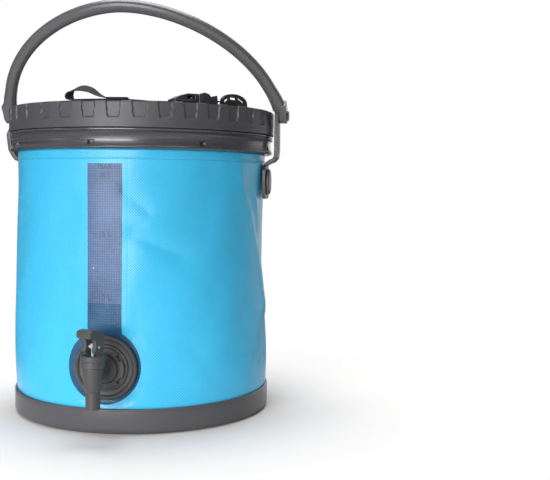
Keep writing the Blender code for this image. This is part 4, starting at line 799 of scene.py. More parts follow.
@dataclass(frozen=True)
class WindowFilm(Surface):
    """Clear film over the dark inside, with its scrim, and a darker part where water stands.

    Attributes:
        wet: Colour below the water.
        water: Height of the water.
        pitch: Distance between the scrim's threads.
    """

    wet: Colour
    water: float = 144.0 * MM
    pitch: float = 2.7 * MM

    def paint(self, graph: Graph) -> None:
        """Write the finish's nodes.

        Args:
            graph: The material.
        """
        uv = graph.node("UVMap", uv_map="lengths").outputs[0]
        parts = graph.node("SeparateXYZ", {0: uv})
        u, v = parts.outputs[0], parts.outputs[1]
        # Threads stand where a cosine along either axis is near its crest.
        threads = []
        for axis in (u, v):
            wave = graph.math("COSINE", graph.times(axis, 2 * math.pi / self.pitch))
            threads.append(graph.step(wave, 0.35, 0.95))
        scrim = graph.math("MAXIMUM", *threads)
        cloud = graph.noise(26.0, 3.0)
        patch = graph.noise(90.0, 3.0)
        # The film is dark below the water's line, which wavers a little.
        level = graph.fit(cloud, 1.5 * MM, v)
        wet = graph.step(level, self.water + 1.3 * MM, self.water)
        colour = graph.blend(wet, self.colour, self.wet)
        tone = graph.fit(cloud, 0.7, 0.65)
        tone = graph.fit(scrim, -0.36, tone)
        colour = graph.scaled(colour, tone)
        # A few pale bubbles, at the middles of cells and in some patches only.
        cells = graph.node("TexVoronoi", {"Vector": uv, "Scale": 95.0})
        bubble = graph.minus(1.0, graph.step(cells.outputs["Distance"], 0.05, 0.09))
        bubble = graph.times(bubble, graph.step(patch, 0.56, 0.66))
        colour = graph.blend(graph.times(bubble, 0.8), colour, (0.75, 0.82, 0.95))
        rough = graph.fit(patch, 0.2, 0.16)
        relief = graph.bump(patch, 0.25 * MM)
        relief = graph.bump(scrim, 0.05 * MM, relief)
        graph.connect(Base_Color=colour, Roughness=rough, Normal=relief, Specular_IOR_Level=0.2)


@dataclass(frozen=True)
class WovenWebbing(Surface):
    """Flat woven webbing.

    The texture coordinates are metres along and across the strap.

    Attributes:
        pitch: Distance between the weave's rows.
    """

    pitch: float = 1.5 * MM

    def paint(self, graph: Graph) -> None:
        """Write the finish's nodes.

        Args:
            graph: The material.
        """
        uv = graph.node("UVMap", uv_map="lengths").outputs[0]
        parts = graph.node("SeparateXYZ", {0: uv})
        wave = 2 * math.pi / self.pitch
        first = graph.math("SINE", graph.times(parts.outputs[0], wave))
        second = graph.math("SINE", graph.times(parts.outputs[1], wave))
        weave = graph.times(first, second)
        cloud = graph.noise(60.0, 3.0)
        fuzz = graph.noise(1600.0, 2.0)
        tone = graph.fit(weave, 0.35, 1.0)
        tone = graph.fit(cloud, 0.5, graph.minus(tone, 0.25))
        normal = graph.bump(fuzz, 0.06 * MM, graph.bump(weave, 0.2 * MM))
        graph.connect(Base_Color=graph.scaled(self.colour, tone), Roughness=0.86, Normal=normal)


@dataclass(frozen=True)
class Ink(Surface):
    """Printed marks on the window."""

    def paint(self, graph: Graph) -> None:
        """Write the finish's nodes.

        Args:
            graph: The material.
        """
        worn = graph.noise(1200.0, 2.0)
        tone = graph.fit(worn, 0.6, 0.7)
        graph.connect(Base_Color=graph.scaled(self.colour, tone), Roughness=0.5)


@dataclass
class Wardrobe:
    """All finishes, each built once.

    Attributes:
        made: The materials by name.
    """

    made: dict[str, bpy.types.Material] = field(default_factory=dict)

    def get(self, finish: Surface) -> bpy.types.Material:
        """The material of a finish, built when it is first asked for.

        Args:
            finish: The finish.

        Returns:
            Its material.
        """
        if finish.name not in self.made:
            self.made[finish.name] = finish.material()
        return self.made[finish.name]


class Finish(Enum):
    """Finishes by part of the carrier."""

    # TRAY and LID are one charcoal plastic in two tones: the tray's lighter tone holds painted light from the
    # floor and a painted broad highlight.
    TRAY = MouldedPlastic("tray_plastic_painted_light", (0.076, 0.075, 0.081), 0.34)
    # The collar's strong lines are painted highlight streaks.
    COLLAR = MouldedPlastic("collar_plastic", (0.046, 0.046, 0.053), 0.3, 0.02 * MM, 0.8)
    # Painted shade: the lid's charcoal is a darker copy of the tray's.
    LID = MouldedPlastic("lid_plastic_painted_shade", (0.05, 0.05, 0.056), 0.48)
    BAIL = MouldedPlastic("bail_plastic", (0.078, 0.077, 0.084), 0.32, 0.004 * MM)
    LUG = MouldedPlastic("lug_plastic", (0.06, 0.059, 0.065), 0.45)
    BUTTON = MouldedPlastic("button_plastic", (0.085, 0.085, 0.092), 0.42)
    TAP = MouldedPlastic("tap_plastic_grey", (0.06, 0.06, 0.06), 0.46)
    CAP = MouldedPlastic("cap_plastic", (0.02, 0.02, 0.023), 0.38)
    BUCKLE = MouldedPlastic("buckle_plastic", (0.016, 0.016, 0.018), 0.34)
    RUBBER = Rubber("valve_rubber", (0.03, 0.03, 0.033))
    STEM = ClearPlastic("stem_clear", (0.55, 0.6, 0.58))
    FABRIC = CoatedFabric("blue_fabric", (0.004, 0.28, 0.52), (0.085, 0.58, 0.88))
    WINDOW = WindowFilm("window_clear", (0.085, 0.148, 0.285), (0.03, 0.098, 0.195))
    WEBBING = WovenWebbing("black_webbing", (0.018, 0.018, 0.02))
    INK = Ink("mark_ink", (0.015, 0.025, 0.09))


# Pieces


@dataclass
class Workshop:
    """Turns meshes into pieces that ride on the frame.

    Attributes:
        wardrobe: The finishes.
        built: Names of the pieces made so far.
        bevel_angle: Edges that turn by more get round in softened pieces.
        cut_angle: The same for round edges that are cut into a mesh.
    """

    frame: dict
    wardrobe: Wardrobe = field(default_factory=Wardrobe)
    built: list[str] = field(default_factory=list)
    bevel_angle: float = math.radians(30.0)
    cut_angle: float = 0.6

    def piece(self, name: str, mesh: bpy.types.Mesh, finish: Finish, slot: Slot, body: Body,
              replaces: Sequence[str] = ()) -> bpy.types.Object:
        """Put a mesh in the scene as a piece of the carrier.

        Args:
            name: The piece's name.
            mesh: Its mesh, in the row frame.
            finish: Its finish.
            slot: The record's slot that the finish stands for; not used.
            body: The body that it rides on.
            replaces: The frame's nodes that it stands for.

        Returns:
            The piece.
        """
        made = bpy.data.objects.new(name, mesh)
        bpy.context.collection.objects.link(made)
        mesh.materials.clear()
        mesh.materials.append(self.wardrobe.get(finish.value))
        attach(made, body.value)
        if replaces:
            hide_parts(*replaces)
        self.built.append(name)
        LOG.info("%s: %d faces on %s", name, len(mesh.polygons), body.value)
        return made

    def shell(self, name: str, grids: Sequence[Grid], finish: Finish, slot: Slot, body: Body,
              replaces: Sequence[str] = ()) -> bpy.types.Object:
        """A piece whose mesh is made from grids."""
        return self.piece(name, mesh_of(name, grids), finish, slot, body, replaces)

    def merged(self, name: str, node: str, bevel: float = 0.0) -> bpy.types.Mesh:
        """A copy of a node's mesh whose level triangles are merged to whole faces.

        Args:
            name: The copy's name.
            node: The frame's node.
            bevel: Width of round edges to cut into the copy, or 0 for none.

        Returns:
            The copy.
        """
        mesh = self.frame["nodes"][node].data.copy()
        mesh.name = name
        work = bmesh.new()
        work.from_mesh(mesh)
        bmesh.ops.remove_doubles(work, verts=work.verts, dist=WELD_DISTANCE)
        bmesh.ops.dissolve_limit(work, angle_limit=MERGE_ANGLE, verts=work.verts, edges=work.edges)
        if bevel:
            edges = [edge for edge in work.edges if edge.calc_face_angle(0.0) > self.cut_angle]
            bmesh.ops.bevel(work, geom=edges, offset=bevel, segments=2, affect="EDGES", profile=0.5)
        bmesh.ops.recalc_face_normals(work, faces=work.faces)
        work.to_mesh(mesh)
        work.free()
        mesh.shade_smooth()
        return mesh

    def thicken(self, sheet: bpy.types.Object, thickness: float) -> None:
        """Give a sheet its thickness, inward from its faces.

        Args:
            sheet: The sheet.
            thickness: Its thickness.
        """
        modifier = sheet.modifiers.new("thickness", "SOLIDIFY")
        modifier.thickness = thickness
        modifier.offset = -1.0

    def softened(self, name: str, node: str, finish: Finish, slot: Slot, body: Body,
                 edge: float) -> bpy.types.Object:
        """A piece with a node's shape and round edges.

        Args:
            name: The piece's name.
            node: The frame's node.
            finish: Its finish.
            slot: The record's slot.
            body: The body that it rides on.
            edge: The width of the round edges.

        Returns:
            The piece.
        """
        made = self.piece(name, self.merged(name, node), finish, slot, body, (node,))
        bevel = made.modifiers.new("round_edges", "BEVEL")
        bevel.width = edge
        bevel.segments = 3
        bevel.limit_method = "ANGLE"
        bevel.angle_limit = self.bevel_angle
        bevel.harden_normals = True
        return made

    def repaint(self, node: str, finish: Finish) -> None:
        """Give a node of the frame its finish.

        Args:
            node: The node.
            finish: Its finish.
        """
        mesh = self.frame["nodes"][node].data
        mesh.materials.clear()
        mesh.materials.append(self.wardrobe.get(finish.value))


@dataclass
class Assembly:
    """A part of the carrier that is built in a workshop.

    Attributes:
        shop: The workshop.
    """

    shop: Workshop


@dataclass
class BaseTray(Assembly):
    """The tray under the bag.

    Attributes:
        wall: Thickness of its wall.
        floor: Thickness of its floor.
        corner: Radius of its lower outer corner.
        hub: Radius of the foot in the middle.
        foot: Inner radius of the foot ring.
        relief: How far the underside is hollowed between them.
        groove: Depth of the line round its upper edge.
        groove_drop: How far that line lies below the edge.
        floor_gap: Gap between the bag's floor and its box.
        columns: Columns of its surface.
    """

    wall: float = 3.0 * MM
    floor: float = 3.5 * MM
    corner: float = 6.5 * MM
    hub: float = 45.0 * MM
    foot: float = 128.0 * MM
    relief: float = 1.2 * MM
    groove: float = 0.35 * MM
    groove_drop: float = 2.6 * MM
    floor_gap: float = 0.4 * MM
    columns: int = 240

    def build(self) -> None:
        """Build the tray and the bag's floor, each an outline turned round the axis."""
        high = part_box("base_tray")[1]
        radius, height = high.x, high.z
        inner = radius - self.wall
        line = height - self.groove_drop
        outline = [(0.0, 0.0), (self.hub, 0.0), (self.hub + self.relief, self.relief),
                   (self.foot - self.relief, self.relief), (self.foot, 0.0)]
        angles = np.radians(np.linspace(-90, 0, 9))
        centre = radius - self.corner
        outline += [(centre + self.corner * math.cos(turn), self.corner * (1 + math.sin(turn)))
                    for turn in angles]
        outline += [(radius, line - 0.5 * MM), (radius - self.groove, line), (radius, line + 0.5 * MM)]
        outline += [(radius - 0.1 * MM, height - 0.9 * MM), (radius - 0.9 * MM, height)]
        outline += [(inner + 0.5 * MM, height), (inner, height - 0.5 * MM), (inner, self.floor + self.wall)]
        outline += [(inner - self.wall, self.floor), (0.0, self.floor)]
        profile = spaced(rounded(outline, 0.5 * MM, False, 2), 12 * MM)
        self.shop.shell("base_tray_shell", [lathe(profile, self.columns, False)], Finish.TRAY,
                        Slot.CHARCOAL, Body.BASE, ("base_tray",))
        low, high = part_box("bag_floor")
        edge = high.x - self.floor_gap
        outline = [(0.0, low.z), (edge, low.z), (edge, high.z), (0.0, high.z)]
        profile = spaced(rounded(outline, 0.3 * MM, False, 2), 8 * MM)
        floor = self.shop.shell("bag_floor_sheet", [lathe(profile, self.columns // 2, False)],
                                Finish.FABRIC, Slot.FABRIC, Body.BASE, ("bag_floor",))
        self.shop.repaint("base_clamp_hoop", Finish.BUCKLE)


@dataclass(frozen=True)
class Dent:
    """A groove or a ridge in the bag's wall along a bent line.

    Attributes:
        path: Azimuth in degrees and height in millimetres of each point of the line.
        width: Half its width in millimetres.
        depth: How far it is pressed in, in millimetres; below zero is a ridge.
        crest: Radius of its crest as a share of the width: a small one makes a crease.
    """

    path: tuple[Pair, ...]
    width: float
    depth: float
    crest: float = 0.5

    def at(self, azimuth: Array, height: Array, radius: float) -> Array:
        """The dent's depth over the wall.

        It is the depth times e to the minus of (the hypotenuse of the distance from the line and
        the crest, less the crest) over the width.

        Args:
            azimuth: Azimuths in degrees.
            height: Heights.
            radius: The wall's radius.

        Returns:
            The depth inward.
        """
        scale = math.radians(1.0) * radius
        away = np.full(np.shape(azimuth), np.inf)
        for start, end in zip(self.path[:-1], self.path[1:]):
            across, up = wrapped(azimuth - start[0]) * scale, height - start[1] * MM
            run, rise = (end[0] - start[0]) * scale, (end[1] - start[1]) * MM
            share = np.clip((across * run + up * rise) / (run * run + rise * rise), 0.0, 1.0)
            away = np.minimum(away, np.hypot(across - share * run, up - share * rise))
        width = self.width * MM
        crest = self.crest * width
        return self.depth * MM * np.exp(-(np.hypot(away, crest) - crest) / width)


@dataclass
class Bag(Assembly):
    """The fabric wall with its window and its marks.

    Attributes:
        thickness: Thickness of the fabric.
        inset: How far the foot lies inside the tray's radius.
        waist: How much narrower the top is than the foot.
        swell: The outward bow low on the wall.
        swell_power: Power of the height that sets the bow's place: less is lower.
        fades: How far above the tray and below the collar the creases come in.
        calm: Half the width behind the tap that stays calm, and how far it takes to fade out.
        ripples: Depth, waves round the wall and turn per metre of height of each ripple.
        flat_inset: How far the wall is pulled in behind the tap.
        flat_radius: Half the height of that flat place.
        flat_drop: How much further it reaches down than up.
        flat_blend: How far it takes to fade out.
        flat_softness: The round edge of the flat place.
        tap_hole: Radius of the hole for the shank.
        window_half: Half the width of the window.
        window_top: Top of the window.
        window_grid: Rows of the film's disc, rows of its strip, and its columns.
        disc_radius: Radius of the window's round end.
        disc_shift: How far the round end's middle lies beside the strip's.
        disc_tip: Half the width at the very foot of the disc.
        lean: How far the strip's left edge stands out at its foot, and how much more at its top.
        lean_span: Height where that starts to grow, and over how much height it grows.
        window_lift: How far the film stands off the fabric.
        ink_lift: How far the marks stand off the film.
        marks: Words, height and letter size of each mark, in millimetres.
        letter_scale: A font's size over the size of its letters.
        dash_heights: Heights of the dashes, in millimetres.
        dash_span: Start and end of a dash from the window's middle, in millimetres.
        dash_half: Half the thickness of a dash, in millimetres.
        columns: Columns of the wall.
        rows: Rows of the wall under the collar.
        hem_rows: Rows of the hem inside the collar.
        tuck: How far inside the collar the hem begins.
        dents: The wall's dents and ridges.
    """

    thickness: float = 1.0 * MM
    inset: float = 3.3 * MM
    waist: float = 1.8 * MM
    swell: float = 2.7 * MM
    swell_power: float = 0.45
    fades: Pair = (22 * MM, 26 * MM)
    calm: Pair = (20 * MM, 12 * MM)
    ripples: tuple[tuple[float, int, float], ...] = ((0.35 * MM, 7, 31.0), (0.3 * MM, 13, -47.0))
    flat_inset: float = 3.1 * MM
    flat_radius: float = 33.0 * MM
    flat_drop: float = 3.0 * MM
    flat_blend: float = 12.4 * MM
    flat_softness: float = 1.0 * MM
    tap_hole: float = 13.5 * MM
    window_half: float = 19.0 * MM
    window_top: float = 294.6 * MM
    window_grid: tuple[int, int, int] = (44, 96, 41)
    disc_radius: float = 41.5 * MM
    disc_shift: float = -1.2 * MM
    disc_tip: float = 0.4 * MM
    lean: Pair = (0.6 * MM, 1.2 * MM)
    lean_span: Pair = (120 * MM, 170 * MM)
    window_lift: float = 0.35 * MM
    ink_lift: float = 0.15 * MM
    marks: tuple[tuple[str, float, float], ...] = (
        ("MAX", 291.0, 5.6), ("20 L", 282.0, 5.6), ("15 L", 218.5, 6.2), ("10 L", 149.5, 6.6))
    letter_scale: float = 1.35
    dash_heights: Pair = (149.5, 218.5)
    dash_span: Pair = (-13.5, -9.0)
    dash_half: float = 0.45
    columns: int = 400
    rows: int = 114
    hem_rows: int = 9
    tuck: float = 0.6 * MM
    dents: tuple[Dent, ...] = (
        Dent(((-98.0, 265.0), (-88.5, 243.0)), 7.0, 1.5, 0.3),
        Dent(((-94.0, 219.0), (-85.0, 206.0), (-74.0, 193.0)), 9.0, 2.3, 0.3),
        Dent(((-92.0, 238.0), (-80.0, 221.0)), 8.0, -0.5),
        Dent(((-13.0, 215.0), (-11.0, 160.0)), 36.0, 5.6),
        Dent(((-44.0, 302.0), (-41.0, 268.0), (-32.0, 230.0), (-25.0, 186.0), (-17.0, 130.0)), 11.0,
             -2.4, 0.2),
        Dent(((-28.0, 258.0), (-21.0, 190.0), (-14.6, 120.0)), 8.0, -2.2, 0.12),
        Dent(((-35.5, 268.0), (-27.0, 215.0)), 8.0, 1.4),
        Dent(((-21.0, 255.0), (-16.0, 190.0)), 8.0, 1.6),
        Dent(((-60.0, 300.0), (-62.0, 230.0)), 16.0, 1.0),
        Dent(((-24.0, 86.0), (-27.0, 62.0)), 6.0, 1.8, 0.2),
        Dent(((-18.0, 96.0), (-16.0, 50.0)), 12.0, 1.6),
        Dent(((-46.0, 200.0), (-40.0, 130.0)), 16.0, 1.2),
        Dent(((-147.7, 82.6), (-134.0, 58.0)), 7.0, 1.1),
        Dent(((-140.0, 110.0), (-150.0, 70.0)), 6.0, -0.6),
        Dent(((-70.0, 96.0), (-60.0, 60.0)), 9.0, 0.8),
        Dent(((-172.0, 230.0), (-168.0, 120.0)), 26.0, -1.0),
        Dent(((-160.0, 280.0), (-158.0, 200.0)), 16.0, 0.9),
        Dent(((40.0, 250.0), (58.0, 222.0), (70.0, 190.0)), 14.0, 2.4, 0.2),
        Dent(((30.0, 262.0), (50.0, 204.0)), 12.0, -1.6, 0.3),
        Dent(((96.0, 230.0), (104.0, 190.0), (120.0, 130.0)), 16.0, 2.2, 0.2),
        Dent(((88.0, 200.0), (106.0, 130.0)), 14.0, -1.4, 0.3),
        Dent(((20.0, 140.0), (48.0, 90.0)), 12.0, 1.8, 0.3),
        Dent(((140.0, 260.0), (150.0, 150.0)), 14.0, 1.6, 0.3),
    )

    def wall(self, azimuth: Array, height: Array) -> Array:
        """The bag's outer radius.

        From the foot's radius it eases in by the waist and out by the swell, a half wave of the
        height's power that dies out upward. The ripples and the dents come on top, between the
        fades. Behind the tap the wall is no further out than a plane square to the tap.

        Args:
            azimuth: Azimuths in degrees.
            height: Heights.

        Returns:
            The radius.
        """
        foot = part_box("base_tray")[1].x - self.inset
        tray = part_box("base_tray")[1].z
        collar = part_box("collar_ring")[0].z
        share = np.clip((height - tray) / (collar - tray), 0.0, 1.0)
        plain = foot - self.waist * smoothstep(share)
        plain = plain + self.swell * np.sin(math.pi * share**self.swell_power) * (1 - share)
        turn = wrapped(azimuth - TAP_AZIMUTH)
        shown = smoothstep((height - tray) / self.fades[0]) * smoothstep((collar - height) / self.fades[1])
        near = np.maximum(np.abs(turn) * math.radians(1.0) * foot - self.calm[0], 0.0)
        ripple = sum(depth * np.sin(np.radians(azimuth) * waves + height * climb)
                     for depth, waves, climb in self.ripples) * smoothstep(near / self.calm[1])
        for dent in self.dents:
            ripple = ripple - dent.at(azimuth, height, foot)
        plain = plain + ripple * shown
        flat = (foot - self.flat_inset) / np.cos(np.radians(np.clip(turn, -45.0, 45.0)))
        beside = np.abs(height - TAP_HEIGHT) - np.where(height < TAP_HEIGHT, self.flat_drop, 0.0)
        away = smoothstep((beside - self.flat_radius) / self.flat_blend)
        lower = soft_min(plain, flat, self.flat_softness)
        return lower * (1 - away) + plain * away

    def sheet(self, azimuth: Array, height: Array, lift: float) -> Grid:
        """Part of the wall's surface, lifted off it.

        Args:
            azimuth: Azimuths in degrees, rows by columns.
            height: Heights, rows by columns.
            lift: Distance outward.

        Returns:
            The surface, with texture coordinates from the window's line.
        """
        radius = self.wall(azimuth, height) + lift
        turn = np.radians(azimuth)
        points = np.stack([radius * np.cos(turn), radius * np.sin(turn), height], axis=2)
        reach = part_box("base_tray")[1].x
        uv = np.stack([np.radians(azimuth - WINDOW_AZIMUTH) * reach, height], axis=2)
        return Grid(points, False, False, uv)

    def tap_keep(self, centres: Array) -> Array:
        """Which faces stay: those whose centres are clear of the round hole for the tap's shank.

        Args:
            centres: The faces' centres.

        Returns:
            True for the faces that stay.
        """
        out = np.array(polar(1.0, TAP_AZIMUTH))
        side = np.array([-out[1], out[0], 0.0])
        spot = centres - np.array([0.0, 0.0, TAP_HEIGHT])
        away = np.hypot(spot @ side, spot[:, 2])
        return (away > self.tap_hole) | (centres @ out < 0)

    def build(self) -> None:
        """Build the wall and its hem, the window and the marks."""
        low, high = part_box("bag_wall")
        azimuth = WINDOW_AZIMUTH + np.linspace(-180.0, 180.0, self.columns + 1)[None, :]
        for name, body, start, end, rows, hoop in (
                ("bag_wall_fabric", Body.BASE, low.z, self.seam(), self.rows, "base_clamp_hoop"),
                ("bag_wall_hem", Body.COLLAR, self.seam(), high.z, self.hem_rows, "collar_clamp_hoop")):
            wide, tall = np.broadcast_arrays(azimuth, np.linspace(start, end, rows)[:, None])
            mesh = mesh_of(name, [self.sheet(wide, tall, 0.0)], self.tap_keep)
            self.face_outward(mesh)
            wall = self.shop.piece(name, mesh, Finish.FABRIC, Slot.FABRIC, body, ("bag_wall",))
            self.shop.thicken(wall, self.thickness)
            if body is Body.BASE:
                self.fold(wall)
        self.build_window()
        self.build_marks()

    def seam(self) -> float:
        """The height where the wall is split: its hem above stays whole inside the collar."""
        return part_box("collar_ring")[0].z + self.tuck

    def fold(self, piece: bpy.types.Object) -> None:
        """Give a piece its own copy of its mesh.

        Args:
            piece: The piece.
        """
        foot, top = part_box("bag_wall")[0].z, self.seam()
        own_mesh(piece)

    def face_outward(self, mesh: bpy.types.Mesh) -> None:
        """Turn an open sheet's faces away from the axis.

        Args:
            mesh: The sheet's mesh.
        """
        polygon = mesh.polygons[0]
        if polygon.normal.xy.dot(polygon.center.xy) < 0:
            mesh.flip_normals()

    def build_window(self) -> None:
        """Build the clear film: each row spans the disc's chord or the strip, whichever is wider."""
        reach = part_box("base_tray")[1].x
        meet = math.acos(self.window_half / self.disc_radius)
        disc_rows, strip_rows, columns = self.window_grid
        lower = TAP_HEIGHT + self.disc_radius * np.sin(np.linspace(-math.pi / 2, meet, disc_rows))
        upper = np.linspace(lower[-1], self.window_top, strip_rows)[1:]
        heights = np.concatenate([lower, upper])
        half = np.sqrt(np.maximum(self.disc_radius**2 - (heights - TAP_HEIGHT)**2, self.disc_tip**2))
        lean = self.lean[0] + self.lean[1] * smoothstep((heights - self.lean_span[0]) / self.lean_span[1])
        start, end = self.disc_shift - half, self.disc_shift + half
        above = heights > TAP_HEIGHT
        start = np.where(above, np.minimum(start, -self.window_half - lean), start)
        end = np.where(above, np.maximum(end, self.window_half), end)
        wide = np.linspace(start, end, columns, axis=1)
        azimuth = WINDOW_AZIMUTH + np.degrees(wide / reach)
        height = np.broadcast_to(heights[:, None], azimuth.shape)
        grid = self.sheet(azimuth, height, self.window_lift)
        mesh = mesh_of("window_film_strip", [grid], self.tap_keep)
        self.face_outward(mesh)
        film = self.shop.piece("window_film_strip", mesh, Finish.WINDOW, Slot.WINDOW, Body.BASE,
                               ("window_strip",))
        self.fold(film)

    def build_marks(self) -> None:
        """Build the volume marks: flat letters and dashes, wrapped round the film."""
        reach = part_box("base_tray")[1].x
        lift = self.window_lift + self.ink_lift
        meshes = []
        for words, middle, size in self.marks:
            curve = bpy.data.curves.new(words, "FONT")
            curve.body = words
            curve.size = size * MM * self.letter_scale
            curve.align_x = "CENTER"
            curve.align_y = "CENTER"
            holder = bpy.data.objects.new(words, curve)
            bpy.context.collection.objects.link(holder)
            graph = bpy.context.evaluated_depsgraph_get()
            mesh = bpy.data.meshes.new_from_object(holder.evaluated_get(graph))
            bpy.data.objects.remove(holder)
            flat = np.zeros(len(mesh.vertices) * 3, np.float32)
            mesh.vertices.foreach_get("co", flat)
            meshes.append((flat.reshape(-1, 3) + (0, middle * MM, 0), mesh))
        points, faces = [], []
        offset = 0
        for flat, mesh in meshes:
            azimuth = WINDOW_AZIMUTH + np.degrees(flat[:, 0] / reach)
            radius = self.wall(azimuth, flat[:, 1]) + lift
            turn = np.radians(azimuth)
            points.append(np.stack([radius * np.cos(turn), radius * np.sin(turn), flat[:, 1]], axis=1))
            faces += [[corner + offset for corner in polygon.vertices] for polygon in mesh.polygons]
            offset += len(flat)
            bpy.data.meshes.remove(mesh)
        mesh = bpy.data.meshes.new("volume_marks")
        mesh.from_pydata(np.vstack(points).tolist(), [], faces)
        dashes = []
        for middle in self.dash_heights:
            wide = np.linspace(*self.dash_span, 8)[None, :] * MM
            tall = (np.array([-self.dash_half, self.dash_half])[:, None] + middle) * MM
            wide, tall = np.broadcast_arrays(wide, tall)
            dashes.append(self.sheet(WINDOW_AZIMUTH + np.degrees(wide / reach), tall, lift))
        dash_mesh = mesh_of("volume_dashes", dashes)
        for name, made in (("volume_marks", mesh), ("volume_dashes", dash_mesh)):
            self.face_outward(made)
            piece = self.shop.piece(name, made, Finish.INK, Slot.WINDOW, Body.BASE)
            self.fold(piece)


@dataclass
class Collar(Assembly):
    """The collar ring under the lid.

    Attributes:
        band: Its outer face from the foot up: place from the radius and height, in millimetres.
        neck: Outer radius of the neck inside the lid.
        neck_wall: Thickness of that neck.
        inner_step: How far the ring's inside lies within the bag's box.
        shoulder: Height over the foot where the inside starts to lean toward the neck.
        edge: Radius of its round edges.
        face_depth: How far in from the radius counts as its outer face.
        slot_count: Number of clip pockets.
        slot_phase: Their turn from the tap, in degrees.
        slot_half: Half the size of a pocket, across and up.
        slot_height: Height of a pocket's middle over the collar's foot.
        slot_depth: Their depth.
        slot_edge: Width of their round edges.
        columns: Columns of the surface.
    """

    band: tuple[Pair, ...] = (
        (-1.6, 0.0), (-0.2, 1.3), (-0.3, 2.4), (-1.3, 3.4), (-1.9, 6.0), (-2.3, 10.0), (-2.0, 13.0),
        (-1.4, 15.2), (-0.4, 16.1), (0.0, 17.0), (0.0, 18.0), (-1.3, 18.5), (-1.3, 19.3), (0.0, 19.8),
        (0.0, 21.4), (-0.7, 22.0))
    neck: float = 153.6 * MM
    neck_wall: float = 4.6 * MM
    inner_step: float = 2.0 * MM
    shoulder: float = 18.0 * MM
    edge: float = 0.7 * MM
    face_depth: float = 4.0 * MM
    slot_count: int = 8
    slot_phase: float = -5.8
    slot_half: Pair = (3.5 * MM, 2.7 * MM)
    slot_height: float = 6.6 * MM
    slot_depth: float = 3.2 * MM
    slot_edge: float = 0.5 * MM
    columns: int = 960

    def build(self) -> None:
        """Build the ring, an outline turned round the axis with pockets sunk into its outer face."""
        low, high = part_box("collar_ring")
        radius, foot = high.x, low.z
        top = foot + self.band[-1][1] * MM
        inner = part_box("bag_wall")[1].x - self.inner_step
        outline = [(inner, foot)]
        outline += [(radius + across * MM, foot + up * MM) for across, up in self.band]
        outline += [(self.neck, top), (self.neck, high.z), (self.neck - self.neck_wall, high.z)]
        outline += [(inner, foot + self.shoulder)]
        profile = spaced(rounded(outline, self.edge, True, 3), 1.0 * MM, True)
        plain = (profile[:, 1] > top) | (profile[:, 0] < radius - self.face_depth)
        profile = profile[~plain | (np.arange(len(profile)) % 4 == 0)]
        face = (profile[:, :1] > radius - self.face_depth) * 1.0

        def pockets(azimuth: Array, height: Array) -> Array:
            """The pockets: their depth, eased in over their edge from the nearest side.

            Args:
                azimuth: Azimuths in degrees.
                height: Heights.

            Returns:
                The change of the radius.
            """
            turn = wrapped(azimuth - TAP_AZIMUTH - self.slot_phase, 360.0 / self.slot_count)
            across = self.slot_half[0] - np.abs(np.radians(turn)) * radius
            up = self.slot_half[1] - np.abs(height - foot - self.slot_height)
            inside = soft_min(across, up, self.slot_edge)
            return -self.slot_depth * smoothstep(inside / self.slot_edge) * face

        self.shop.shell("collar_ring_shell", [lathe(profile, self.columns, True, pockets)], Finish.COLLAR,
                        Slot.CHARCOAL, Body.COLLAR, ("collar_ring",))
        self.shop.repaint("collar_clamp_hoop", Finish.BUCKLE)


